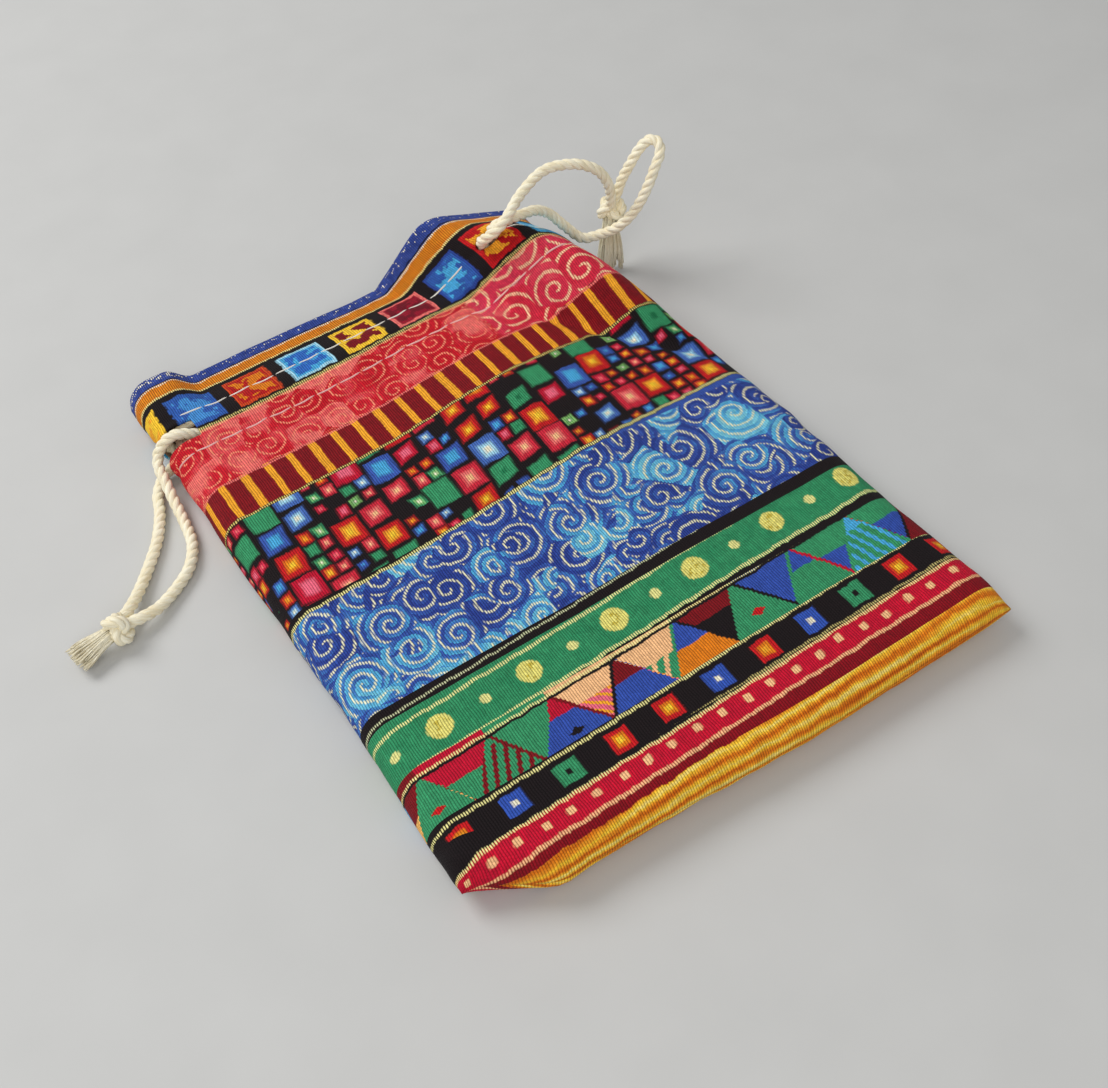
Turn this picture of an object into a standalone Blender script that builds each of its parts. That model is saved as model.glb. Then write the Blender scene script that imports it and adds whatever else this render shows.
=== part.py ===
# Cloth drawstring pouch, lying on its back with the right of its mouth raised by the cords.
# Lengths are in metres. X runs across the pouch, Y from the bottom fold to the mouth, Z up.
# The origin is at the bottom centre of the pouch.

from math import cos, pi, radians, sin, sqrt

import bmesh
import bpy
from mathutils import Vector

MM = 0.001

# Pouch as it lies, and its cloth
POUCH_WIDTH = 102 * MM
POUCH_LENGTH = 138 * MM
POUCH_HEIGHT = 9.2 * MM
HEADER_HEIGHT = 7.8 * MM
CLOTH = 0.5 * MM
SIDE_ROLL = 4.5 * MM
BOTTOM_ROLL = 6 * MM
MOUTH_TAPER = 1.3 * MM

# Drawstring channel, as distances along the cloth from the mouth
CORD = 2.3 * MM
CORD_CLEARANCE = 0.35 * MM
HEM_GAP = 0.3 * MM
CHANNEL_TOP = 10.6 * MM
CHANNEL_BOTTOM = 23 * MM
CHANNEL_EASE = 1.4 * MM
HEM_DEPTH = 26.5 * MM
LEFT_LANE = 17.6 * MM
RIGHT_LANE = 14 * MM

# Slit in the left seam, and the hole in the right of the front
SLIT_TOP = 15.2 * MM
SLIT_HEIGHT = 5.2 * MM
SLIT_FRONT_REACH = 7.5 * MM
HOLE_TOP = 10.6 * MM
HOLE_LEFT = 24.5 * MM
HOLE_WIDTH = 9.5 * MM
HOLE_SPACING = 1.3 * CORD

# Raised right corner of the neck: a facet between a valley and a crest, and a flap behind it
VALLEY_AT_MOUTH = 3 * MM
LIFT_DIRECTION = Vector((0.74, 0.673, 0)).normalized()
RAMP_ANGLE = radians(43)
RAMP_BEND = 6.5 * MM
RAMP_LENGTH = 15 * MM
CREST_RADIUS = 6 * MM
CREST_EASE = 1.3
FLAP_ANGLE = radians(50)
LIFT_STEP = 0.25 * MM

# Left bottom corner, tucked in on the diagonal
CORNER_TUCK = 10 * MM
CORNER_TUCK_WIDTH = 15 * MM
CORNER_TUCK_LENGTH = 22 * MM

# Knots and frayed ends
KNOT_RADIUS = 3.1 * MM
KNOT_GAP = 0.3 * MM
KNOT_TURN_SINK = 0.8 * MM
KNOT_TURN_TILT = Vector((0.25, 0.1, 0.45))
TASSEL_LENGTH = 9 * MM
TASSEL_NECK = 1.7 * MM
TASSEL_END = 3.2 * MM
TASSEL_FLATNESS = 0.45
TASSEL_FLAT_SIDE = Vector((0, -0.15, 1))
TASSEL_STRANDS = 6
STRAND_DEPTH = 0.14
STRAND_UNEVENNESS = 0.07
TASSEL_HOLLOW = 0.14

# Printed bands from the bottom fold to the mouth: name, distance of the lower border from the mouth,
# colour
BANDS = (
    ("orange_stripes", 140 * MM, (0.80, 0.36, 0.04)),
    ("crimson_dots", 132 * MM, (0.55, 0.01, 0.04)),
    ("small_squares", 124.6 * MM, (0.02, 0.012, 0.015)),
    ("triangles", 117.6 * MM, (0.45, 0.10, 0.12)),
    ("green_dots", 107 * MM, (0.02, 0.24, 0.09)),
    ("black_line", 97 * MM, (0.01, 0.008, 0.008)),
    ("blue_spirals", 94.4 * MM, (0.05, 0.17, 0.52)),
    ("scattered_squares", 68.7 * MM, (0.03, 0.015, 0.02)),
    ("bars", 44.5 * MM, (0.42, 0.06, 0.02)),
    ("coral_spirals", 34.6 * MM, (0.66, 0.07, 0.09)),
    ("large_squares", 19.6 * MM, (0.02, 0.02, 0.03)),
    ("orange_stripe", 6 * MM, (0.70, 0.25, 0.02)),
    ("blue_edge", 2.5 * MM, (0.04, 0.07, 0.27)),
)
INSIDE_COLOUR = (0.62, 0.45, 0.38)
COTTON_COLOUR = (0.83, 0.76, 0.60)

# Free ends of the left drawstring, from the knot to the slit: over the front, and under it
LEFT_OVER = (
    (-70.9, 20.2, 2.9), (-67.0, 21.3, 1.9), (-62.2, 24.0, 1.3), (-57.9, 27.4, 1.3),
    (-55.2, 32.2, 1.3), (-54.2, 38.0, 1.5), (-53.8, 42.5, 2.6), (-53.3, 47.2, 4.2),
    (-53.0, 50.0, 4.9), (-52.0, 51.9, 6.0), (-50.4, 52.0, 8.0), (-48.6, 51.7, 9.2), (-46.8, 51.5, 9.0),
    (-45.0, 51.4, 8.0),
)
LEFT_UNDER = (
    (-48.9, 51.5, 2.3), (-52.6, 50.6, 1.4), (-55.4, 47.2, 1.2), (-57.0, 42.8, 1.2),
    (-60.2, 36.8, 1.2), (-64.3, 31.5, 1.3), (-68.4, 27.0, 1.8), (-71.9, 23.2, 2.9),
)
# Free ends of the right drawstring, from the hole to the knot: the arc, and the loop over the crest
RIGHT_ARC = (
    (26.4, 55.6, 17.6), (28.5, 56.0, 21.5), (33.9, 56.8, 25.5), (40.2, 55.1, 28.5),
    (45.7, 52.5, 29.0), (50.0, 51.0, 26.5), (52.9, 51.0, 21.3), (53.9, 51.9, 16.45),
)
RIGHT_LOOP = (
    (29.6, 54.2, 19.2), (31.6, 53.2, 22.0), (34.6, 52.0, 23.2), (37.8, 51.2, 22.8),
    (42.3, 52.9, 20.6), (46.4, 55.0, 16.0), (49.2, 54.6, 12.2), (50.6, 51.9, 10.8),
    (53.0, 48.6, 12.0), (56.0, 46.8, 15.8), (58.6, 46.0, 20.5), (61.0, 46.2, 25.0),
    (63.2, 47.4, 28.0), (63.3, 49.7, 28.8), (61.0, 50.9, 27.6), (58.8, 51.6, 24.0),
    (57.2, 52.5, 20.2), (56.5, 53.2, 16.45),
)
LEFT_KNOT = Vector((-74.5, 20.2, 3.4)) * MM
LEFT_TASSEL_DIRECTION = Vector((-1, -0.14, -0.13))
RIGHT_KNOT = Vector((54.9, 53.4, 13.3)) * MM
RIGHT_TASSEL_DIRECTION = Vector((-0.12, -0.10, -1))

# Shares and depths of a cord that comes out of the hole: distance before its place in the hole, share
# of the way to the hole's middle line, depth under the cloth's outer face
HOLE_RISE = ((2.2 * MM, 0.5, 2 * MM), (0.7 * MM, 0.9, 1.3 * MM), (0, 1, -0.7 * MM))

# Facets
NORMAL_STEP = 0.2 * MM
SNAP = 0.01 * MM
ROLL_FACETS = 4
RIGHT_ROLL_FACETS = 5
BOTTOM_ROLL_ANGLES = (16, 36, 60, 90)
BODY_STEP = 9 * MM
FLAT_PLACES = (-35, -27, -18, -9, -1, 4, 8, 11.5, 14.5, 17, 19.5, 22)
HOLE_COLUMNS = 3
RIGHT_OF_HOLE = (2.2, 4.4, 6.6)
TUBE_RESOLUTION = 2
ROUTE_STEP = 0.5 * MM
ROUTE_TURN = radians(19)
ROUTE_REACH = 3 * CORD

HALF_WIDTH = POUCH_WIDTH / 2
MOUTH = POUCH_LENGTH / 2
BOTTOM = -POUCH_LENGTH / 2
HEADER_DEPTH = 2 * CLOTH + HEM_GAP
CHANNEL_DEPTH = 2 * CLOTH + CORD + 2 * CORD_CLEARANCE
LANE_DEPTH = CLOTH + CORD_CLEARANCE + CORD / 2
FOLD_RADIUS = HEADER_DEPTH / 2
LAST_OUTER = MOUTH - FOLD_RADIUS


def clear_scene():
    for old in list(bpy.data.objects):
        bpy.data.objects.remove(old, do_unlink=True)


def make_collection(name):
    collection = bpy.data.collections.new(name)
    bpy.context.scene.collection.children.link(collection)
    return collection


def make_material(name, colour, roughness=0.9):
    material = bpy.data.materials.new(name)
    material.use_nodes = True
    shader = material.node_tree.nodes["Principled BSDF"]
    shader.inputs["Base Color"].default_value = (*colour, 1)
    shader.inputs["Roughness"].default_value = roughness
    shader.inputs["Metallic"].default_value = 0
    material.diffuse_color = (*colour, 1)
    return material


def smooth(value):
    """An S-shaped step from 0 to 1."""
    value = min(max(value, 0), 1)
    return value * value * (3 - 2 * value)


def lift_angle(distance):
    """Slope of the raised corner at a distance along the cloth beyond the valley."""
    up = RAMP_ANGLE * smooth(distance / RAMP_BEND)
    crest_length = (RAMP_ANGLE + FLAP_ANGLE) * CREST_RADIUS
    beyond = distance - RAMP_LENGTH + RAMP_BEND / 2
    down = (RAMP_ANGLE + FLAP_ANGLE) * smooth(beyond / (CREST_EASE * crest_length))
    return up - down


def lift_profile():
    """Rise and horizontal pull of the raised corner, one pair for each LIFT_STEP beyond the valley.

    The raised corner reaches no further from the valley than half of the pouch's width.
    """
    rise = 0
    pull = 0
    profile = [(rise, pull)]
    for index in range(int(HALF_WIDTH / LIFT_STEP)):
        angle = lift_angle((index + 0.5) * LIFT_STEP)
        rise += sin(angle) * LIFT_STEP
        pull += (1 - cos(angle)) * LIFT_STEP
        profile.append((rise, pull))
    return profile


LIFT_PROFILE = lift_profile()


def corner_lift(across, along):
    """How far the cloth at a flat place is raised, and pulled in along LIFT_DIRECTION."""
    place = Vector((across - VALLEY_AT_MOUTH, along - MOUTH, 0))
    steps = max(place.dot(LIFT_DIRECTION), 0) / LIFT_STEP
    index = min(int(steps), len(LIFT_PROFILE) - 2)
    share = min(steps - index, 1)
    low = LIFT_PROFILE[index]
    high = LIFT_PROFILE[index + 1]
    return [low[i] + (high[i] - low[i]) * share for i in range(2)]


def bottom_share(along):
    """Share of the full height at a place near the rounded bottom fold."""
    left = 1 - min(max((along - BOTTOM) / BOTTOM_ROLL, 0), 1)
    return sqrt(max(1 - left * left, 0))


def front_height(across, along):
    """Height of the front's outer face, before its side edges are rolled."""
    header = smooth((along - (MOUTH - CHANNEL_TOP)) / (2 * CHANNEL_EASE))
    flat = POUCH_HEIGHT + (HEADER_HEIGHT - POUCH_HEIGHT) * header
    return flat + corner_lift(across, along)[0]


def right_roll(along):
    """Width of the rolled right edge, which grows where the corner is raised."""
    inner = HALF_WIDTH - SIDE_ROLL
    return max(front_height(inner, along) / 2, SIDE_ROLL)


def place_across(column, along):
    """Flat place across the pouch, and height from -1 on the back to 1 on the front, of a column."""
    kind, value = column
    if kind == "left":
        return -(HALF_WIDTH - SIDE_ROLL) - SIDE_ROLL * cos(value), sin(value)
    if kind == "right":
        roll = right_roll(along)
        return HALF_WIDTH - roll + roll * cos(value), sin(value)
    return value


def outer_face(column, along):
    """Point of the cloth's printed outer face, for a column and a place along the pouch."""
    across, level = place_across(column, along)
    pull = corner_lift(across, along)[1]
    middle = front_height(across, along) / 2
    height = middle + middle * level * bottom_share(along)
    taper = 1 - MOUTH_TAPER / HALF_WIDTH * smooth((along - BOTTOM) / POUCH_LENGTH) * (across < 0)
    near_corner = smooth((-across - HALF_WIDTH + CORNER_TUCK_WIDTH) / CORNER_TUCK_WIDTH)
    near_bottom = smooth(1 - (along - BOTTOM) / CORNER_TUCK_LENGTH)
    flat = Vector((across * taper, along + CORNER_TUCK * near_corner * near_bottom, height))
    return flat - LIFT_DIRECTION * pull


def shifted(column, step):
    """The column a small step further round the pouch."""
    kind, value = column
    if kind == "left":
        return kind, value + step / SIDE_ROLL
    if kind == "right":
        return kind, value - step / SIDE_ROLL
    return kind, (value[0] + step * value[1], value[1])


def outward(column, along):
    """Unit normal of the outer face, pointing out of the pouch."""
    step = NORMAL_STEP
    round_the_pouch = outer_face(shifted(column, step), along) - outer_face(shifted(column, -step), along)
    to_the_mouth = outer_face(column, along + step) - outer_face(column, along - step)
    return round_the_pouch.cross(to_the_mouth).normalized()


def inside_face(column, along, depth):
    """Point at a depth under the outer face."""
    return outer_face(column, along) - outward(column, along) * depth


def front_columns():
    """Columns of the front, from the left seam to the right seam."""
    columns = [("left", radians(90) * i / ROLL_FACETS) for i in range(ROLL_FACETS + 1)]
    slit_edge = -HALF_WIDTH + SLIT_FRONT_REACH
    hole = [HOLE_LEFT + HOLE_WIDTH * i / HOLE_COLUMNS for i in range(HOLE_COLUMNS + 1)]
    beyond = [hole[-1] + step * MM for step in RIGHT_OF_HOLE]
    flats = [slit_edge] + [place * MM for place in FLAT_PLACES] + hole + beyond
    columns += [("flat", (place, 1)) for place in flats]
    columns += [("right", radians(90) * (1 - i / RIGHT_ROLL_FACETS)) for i in range(RIGHT_ROLL_FACETS + 1)]
    return columns


def mirrored(column):
    """The column on the back, under one of the front."""
    kind, value = column
    if kind == "flat":
        return kind, (value[0], -value[1])
    return kind, -value


def all_columns():
    """Columns once round the pouch: along the front to the right seam, and back along the back."""
    front = front_columns()
    return front + [mirrored(column) for column in reversed(front[1:-1])]


def outer_rows():
    """Places along the pouch of the rows of the outer face, from the bottom to the mouth."""
    bottom = [BOTTOM + BOTTOM_ROLL * (1 - cos(radians(angle))) for angle in BOTTOM_ROLL_ANGLES]
    borders = [MOUTH - border for _, border, _ in BANDS[2:11]]
    body = []
    for low, high in zip([bottom[-1]] + borders[:-2], borders[:-1]):
        pieces = max(round((high - low) / BODY_STEP), 1)
        body += [low + (high - low) * (i + 1) / pieces for i in range(pieces)]
    neck = [
        MOUTH - HEM_DEPTH,
        MOUTH - CHANNEL_BOTTOM - CHANNEL_EASE,
        MOUTH - CHANNEL_BOTTOM,
        MOUTH - SLIT_TOP - SLIT_HEIGHT,
        MOUTH - SLIT_TOP - SLIT_HEIGHT / 2,
        MOUTH - SLIT_TOP,
        MOUTH - (SLIT_TOP + HOLE_TOP) / 2,
        MOUTH - HOLE_TOP,
        MOUTH - CHANNEL_TOP + CHANNEL_EASE,
        MOUTH - BANDS[11][1],
        MOUTH - BANDS[12][1],
        LAST_OUTER,
    ]
    return bottom + [place for place in body if place < neck[0] - MM] + neck


def hem_depth(along):
    """Depth of the turned-in cloth's face under the outer face."""
    above = smooth((along - (MOUTH - CHANNEL_TOP)) / CHANNEL_EASE)
    below = smooth(((MOUTH - CHANNEL_BOTTOM) - along) / CHANNEL_EASE)
    return CHANNEL_DEPTH + (HEADER_DEPTH - CHANNEL_DEPTH) * max(above, below)


def band_at(along):
    """Number of the printed band at a place along the cloth."""
    number = 0
    for index, (_, border, _) in enumerate(BANDS):
        if along >= MOUTH - border - SNAP:
            number = index
    return number


def is_open(column_number, columns, low, high):
    """Does a face lie in the slit of the left seam, or in the hole of the front?"""
    left = columns[column_number]
    right = columns[(column_number + 1) % len(columns)]
    middle = (low + high) / 2
    in_slit = MOUTH - SLIT_TOP - SLIT_HEIGHT < middle < MOUTH - SLIT_TOP
    if in_slit:
        slit_columns = columns[:ROLL_FACETS + 2] + [mirrored(column) for column in columns[:ROLL_FACETS]]
        return left in slit_columns and right in slit_columns
    in_hole = MOUTH - SLIT_TOP < middle < MOUTH - HOLE_TOP
    if not in_hole or left[0] != "flat" or right[0] != "flat" or left[1][1] < 0:
        return False
    return HOLE_LEFT <= left[1][0] and right[1][0] <= HOLE_LEFT + HOLE_WIDTH


def cloth_rows(columns):
    """All rows of the cloth as lists of points, with the place along the cloth of each row."""
    outer = outer_rows()
    rows = [(along, [outer_face(column, along) for column in columns]) for along in outer]
    for angle in (radians(60), radians(120)):
        points = []
        for column in columns:
            edge = outer_face(column, LAST_OUTER)
            forward = edge - outer_face(column, LAST_OUTER - MM)
            forward = forward.normalized() * FOLD_RADIUS * sin(angle)
            sink = outward(column, LAST_OUTER) * FOLD_RADIUS * (1 - cos(angle))
            points.append(edge + forward - sink)
        rows.append((MOUTH, points))
    for along in reversed([place for place in outer if place >= MOUTH - HEM_DEPTH - SNAP]):
        points = [inside_face(column, along, hem_depth(along)) for column in columns]
        rows.append((along, points))
    return rows, len(outer)


def make_pouch(collection):
    """The cloth: one sheet round the pouch, turned in at the mouth, with thickness from Solidify."""
    columns = all_columns()
    rows, outer_count = cloth_rows(columns)
    mesh = bmesh.new()
    grid = [[mesh.verts.new(point) for point in points] for _, points in rows]
    count = len(columns)
    for index in range(len(rows) - 1):
        low = rows[index][0]
        high = rows[index + 1][0]
        for number in range(count):
            if index + 1 < outer_count and is_open(number, columns, low, high):
                continue
            after = (number + 1) % count
            below = grid[index]
            above = grid[index + 1]
            face = mesh.faces.new((below[number], below[after], above[after], above[number]))
            face.material_index = band_at((low + high) / 2)
            face.smooth = True
    front_count = len(front_columns())
    for number in range(front_count - 1):
        back = -number % count
        corners = (grid[0][number + 1], grid[0][number], grid[0][back], grid[0][-(number + 1) % count])
        unlike = list(dict.fromkeys(corners))
        face = mesh.faces.new(unlike)
        face.material_index = 0
    bmesh.ops.recalc_face_normals(mesh, faces=mesh.faces)
    data = bpy.data.meshes.new("pouch_cloth")
    mesh.to_mesh(data)
    mesh.free()
    pouch = bpy.data.objects.new("pouch_cloth", data)
    collection.objects.link(pouch)
    for name, _, colour in BANDS:
        data.materials.append(make_material(name, colour))
    data.materials.append(make_material("cloth_inside", INSIDE_COLOUR))
    wall = pouch.modifiers.new("cloth_thickness", "SOLIDIFY")
    wall.thickness = CLOTH
    wall.offset = -1
    wall.material_offset = len(BANDS)
    return pouch


def lane_points(columns, lane):
    """Points of a cord in the channel, under each of the columns."""
    return [inside_face(column, MOUTH - lane, LANE_DEPTH) for column in columns]


def scaled(points):
    return [Vector(point) * MM for point in points]


def smooth_route(points):
    """Points every ROUTE_STEP or so on a smooth curve through the route's own points."""
    route = []
    padded = [2 * points[0] - points[1]] + points + [2 * points[-1] - points[-2]]
    for a, b, c, d in zip(padded, padded[1:], padded[2:], padded[3:]):
        times = [0]
        for start, end in ((a, b), (b, c), (c, d)):
            times.append(times[-1] + sqrt((end - start).length))
        pieces = max(int((c - b).length / ROUTE_STEP), 1)
        for index in range(pieces):
            t = times[1] + (times[2] - times[1]) * index / pieces
            first = a.lerp(b, (t - times[0]) / (times[1] - times[0]))
            second = b.lerp(c, (t - times[1]) / (times[2] - times[1]))
            third = c.lerp(d, (t - times[2]) / (times[3] - times[2]))
            early = first.lerp(second, (t - times[0]) / (times[2] - times[0]))
            late = second.lerp(third, (t - times[1]) / (times[3] - times[1]))
            route.append(early.lerp(late, (t - times[1]) / (times[2] - times[1])))
    return route + [points[-1]]


def thinned(route):
    """The points of a fine route that its bends need, no further apart than ROUTE_REACH."""
    kept = [route[0]]
    heading = route[1] - route[0]
    for before, point, after in zip(route, route[1:], route[2:]):
        turned = heading.angle(after - point, 0)
        if turned > ROUTE_TURN or (after - kept[-1]).length > ROUTE_REACH:
            kept.append(point)
            heading = after - point
    if (route[-1] - kept[-1]).length < CORD / 2:
        kept.pop()
    return kept + [route[-1]]


def make_cord(collection, name, points, material):
    """A cord as a tube along its route."""
    curve = bpy.data.curves.new(name, "CURVE")
    curve.dimensions = "3D"
    curve.bevel_depth = CORD / 2
    curve.bevel_resolution = TUBE_RESOLUTION
    curve.use_fill_caps = True
    spline = curve.splines.new("POLY")
    spline.points.add(len(points) - 1)
    for target, point in zip(spline.points, points):
        target.co = (*point, 1)
    curve.materials.append(material)
    cord = bpy.data.objects.new(name, curve)
    collection.objects.link(cord)
    return cord


def left_route():
    """Left drawstring: knot, slit, all round the channel, slit, knot."""
    columns = front_columns()[ROLL_FACETS + 1:]
    below = [mirrored(column) for column in reversed(front_columns()[ROLL_FACETS:-1])]
    channel = lane_points(columns + below, LEFT_LANE)
    return scaled(LEFT_OVER) + channel + scaled(LEFT_UNDER)


def hole_points(place, rise_towards):
    """Points that bring a cord out of the hole, at a place across, from its lane in the channel."""
    out = []
    hole_middle = (HOLE_TOP + SLIT_TOP) / 2
    for back, share, depth in HOLE_RISE:
        lane = RIGHT_LANE + (hole_middle - RIGHT_LANE) * share
        column = ("flat", (place - back * rise_towards, 1))
        out.append(inside_face(column, MOUTH - lane, depth))
    return out


def right_route():
    """Right drawstring: knot, hole, to the left along the front, round the back, hole, knot."""
    columns = front_columns()
    hole_number = columns.index(("flat", (HOLE_LEFT, 1)))
    first_place = HOLE_LEFT + (HOLE_WIDTH - HOLE_SPACING) / 2
    second_place = first_place + HOLE_SPACING
    to_the_left = list(reversed(columns[:hole_number]))
    below = [mirrored(column) for column in columns[1:-1]]
    from_the_right = list(reversed(columns[hole_number + HOLE_COLUMNS:]))
    channel = lane_points(to_the_left + below + from_the_right, RIGHT_LANE)
    first = list(reversed(hole_points(first_place, 1)))
    second = hole_points(second_place, -1)
    arc = list(reversed(scaled(RIGHT_ARC)))
    return arc + first + channel + second + scaled(RIGHT_LOOP)


def make_knot(collection, name, centre, axis, material):
    """An overhand knot: a round lump with one turn of cord laid round it."""
    bpy.ops.mesh.primitive_uv_sphere_add(segments=18, ring_count=10, radius=KNOT_RADIUS)
    knot = bpy.context.active_object
    knot.name = name
    turn = axis.to_track_quat("Z", "Y")
    knot.data.transform(turn.to_matrix().to_4x4())
    knot.location = centre
    bpy.ops.mesh.primitive_torus_add(
        major_segments=22, minor_segments=8, major_radius=KNOT_RADIUS - KNOT_TURN_SINK, minor_radius=CORD / 2
    )
    wrap = bpy.context.active_object
    wrap.name = name + "_turn"
    tilt = (axis + KNOT_TURN_TILT).normalized().to_track_quat("Z", "Y")
    wrap.data.transform(tilt.to_matrix().to_4x4())
    wrap.location = centre
    wrap.hide_render = True
    wrap.display_type = "WIRE"
    joined = knot.modifiers.new("turn_of_cord", "BOOLEAN")
    joined.operation = "UNION"
    joined.object = wrap
    knot.data.materials.append(material)
    knot.data.shade_smooth()
    for made, home in ((knot, collection), (wrap, bpy.data.collections["pouch_guides"])):
        for old in list(made.users_collection):
            old.objects.unlink(made)
        home.objects.link(made)
    return knot


def make_tassel(collection, name, start, direction, material):
    """Frayed ends: a lobed bundle that spreads from the knot and ends in uneven strands."""
    sides = 4 * TASSEL_STRANDS
    forward = direction.normalized()
    wide = forward.cross(TASSEL_FLAT_SIDE).normalized()
    thick = wide.cross(forward)
    mesh = bmesh.new()
    rings = []
    for level in (0, 0.2, 0.45, 0.7, 0.88, 1):
        ring = []
        spread = TASSEL_NECK + (TASSEL_END - TASSEL_NECK) * smooth(level)
        flat = TASSEL_NECK * (1 - TASSEL_FLATNESS * level)
        for index in range(sides):
            angle = 2 * pi * index / sides
            lobe = 1 + STRAND_DEPTH * cos(TASSEL_STRANDS * angle)
            uneven = STRAND_UNEVENNESS * sin(3 * angle + 1) * level
            along = forward * TASSEL_LENGTH * (level + uneven)
            ring.append(start + along + wide * cos(angle) * spread * lobe + thick * sin(angle) * flat * lobe)
        rings.append([mesh.verts.new(point) for point in ring])
    for low, high in zip(rings, rings[1:]):
        for index in range(sides):
            after = (index + 1) % sides
            mesh.faces.new((low[index], low[after], high[after], high[index])).smooth = True
    mesh.faces.new(list(reversed(rings[0])))
    middle = mesh.verts.new(start + forward * TASSEL_LENGTH * (1 - TASSEL_HOLLOW))
    for index in range(sides):
        mesh.faces.new((rings[-1][index], rings[-1][(index + 1) % sides], middle))
    bmesh.ops.recalc_face_normals(mesh, faces=mesh.faces)
    data = bpy.data.meshes.new(name)
    mesh.to_mesh(data)
    mesh.free()
    data.materials.append(material)
    tassel = bpy.data.objects.new(name, data)
    collection.objects.link(tassel)
    return tassel


def main():
    clear_scene()
    parts = make_collection("drawstring_pouch")
    make_collection("pouch_guides")
    cotton = make_material("cotton_cord", COTTON_COLOUR, 0.85)
    make_pouch(parts)
    make_cord(parts, "left_drawstring", thinned(smooth_route(left_route())), cotton)
    make_cord(parts, "right_drawstring", thinned(smooth_route(right_route())), cotton)
    reach = KNOT_RADIUS + KNOT_GAP
    for side, centre, direction in (
        ("left", LEFT_KNOT, LEFT_TASSEL_DIRECTION),
        ("right", RIGHT_KNOT, RIGHT_TASSEL_DIRECTION),
    ):
        forward = direction.normalized()
        make_knot(parts, side + "_knot", centre, forward, cotton)
        make_tassel(parts, side + "_tassel", centre + forward * reach, direction, cotton)


main()
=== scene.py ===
import random
from math import asin, ceil, cos, exp, pi, radians, sin, sqrt

import bmesh
import bpy
from mathutils import Matrix, Vector, noise


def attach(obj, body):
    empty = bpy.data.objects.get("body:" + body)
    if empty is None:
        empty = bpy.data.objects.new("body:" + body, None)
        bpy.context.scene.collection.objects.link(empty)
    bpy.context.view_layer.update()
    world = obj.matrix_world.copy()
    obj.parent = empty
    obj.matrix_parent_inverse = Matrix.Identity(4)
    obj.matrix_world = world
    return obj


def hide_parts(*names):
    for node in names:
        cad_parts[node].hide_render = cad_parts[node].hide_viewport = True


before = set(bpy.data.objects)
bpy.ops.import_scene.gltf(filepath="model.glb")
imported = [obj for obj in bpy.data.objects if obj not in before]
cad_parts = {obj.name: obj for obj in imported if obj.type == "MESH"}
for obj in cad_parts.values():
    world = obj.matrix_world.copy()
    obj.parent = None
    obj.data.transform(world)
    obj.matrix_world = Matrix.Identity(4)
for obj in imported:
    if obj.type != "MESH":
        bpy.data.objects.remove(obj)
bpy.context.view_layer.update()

MM = 0.001

# Camera, as worked out from the straight borders of the printed bands
CAMERA_PLACE = Vector((-88.2, -152.5, 203.7)) * MM
CAMERA_AZIMUTH = radians(30.933)
CAMERA_ELEVATION = radians(50.122)
CAMERA_ROLL = radians(4.0)
LENS = 47.11
SENSOR = 36.0

# Pouch as it lies, and its cloth
POUCH_WIDTH = 102 * MM
POUCH_LENGTH = 138 * MM
POUCH_HEIGHT = 9.2 * MM
MOUTH_HEIGHT = 6 * MM
MOUTH_SLOPE = (17 * MM, 15 * MM)
HILL = 4 * MM
HILL_PLACE = (14 * MM, 22 * MM)
HILL_REACH = 26 * MM
CLOTH = 0.5 * MM
SIDE_ROLL = 4.5 * MM
RIGHT_ROLL_SHARE = 0.62
BOTTOM_ROLL = 6 * MM
BOTTOM_SHORTENING = 1.5 * MM
BOTTOM_FLARE = 0.9 * MM
FLARE_START = -20 * MM
FLARE_RUN = 35 * MM
RIGHT_WAIST = 2.6 * MM
WAIST_PLACE = 24 * MM
WAIST_REACH = 17 * MM
MOUTH_PUFF = 3.8 * MM
PUFF_START = 37 * MM
PUFF_RUN = 5.5 * MM

# Drawstring channel, as distances along the cloth from the mouth
CORD = 2.3 * MM
CORD_CLEARANCE = 0.35 * MM
HEM_GAP = 0.3 * MM
CHANNEL_TOP = 10.6 * MM
CHANNEL_BOTTOM = 23 * MM
CHANNEL_EASE = 1.4 * MM
HEM_DEPTH = 26.5 * MM
LEFT_LANE = 17.6 * MM
RIGHT_LANE = 14 * MM
UPPER_STITCHES = 13.1 * MM
LOWER_STITCHES = 23.8 * MM

# Slit in the left seam, and the hole in the right of the front
SLIT_TOP = 15.2 * MM
SLIT_HEIGHT = 5.2 * MM
SLIT_FRONT_REACH = 7.5 * MM
HOLE_TOP = 10.6 * MM
HOLE_LEFT = 24.5 * MM
HOLE_WIDTH = 9.5 * MM
HOLE_SPACING = 1.3 * CORD
HOLE_RISE = ((2.2 * MM, 0.5, 2 * MM), (0.7 * MM, 0.9, 1.3 * MM), (0, 1, -0.7 * MM))

# Raised right corner of the neck: a facet between a valley and a crest, and a flap behind it
VALLEY_AT_MOUTH = 4 * MM
VALLEY_SLOPE = 0.82
VALLEY_BOW = 5.4 * MM
VALLEY_BOW_LENGTH = 11 * MM
DOWN_VALLEY = (0.63, 0.77)
RAMP_ANGLE = radians(54)
RAMP_BEND = 2 * MM
RAMP_LENGTHS = (14.6 * MM, 7.4 * MM)
CREST_RADIUS = 5.2 * MM
CREST_EASE = 1.3
FLAP_ANGLES = (radians(19), radians(60))
LIFT_RUN = (27 * MM, 58 * MM)
LIFT_SLICES = 24
LIFT_STEP = 0.25 * MM

# Left bottom corner, tucked in on the diagonal
CORNER_TUCK = 7 * MM
CORNER_TUCK_WIDTH = 15 * MM
CORNER_TUCK_LENGTH = 22 * MM
BOTTOM_LEAN = 2.3 * MM
LEAN_MIDDLE = 0.35

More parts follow.
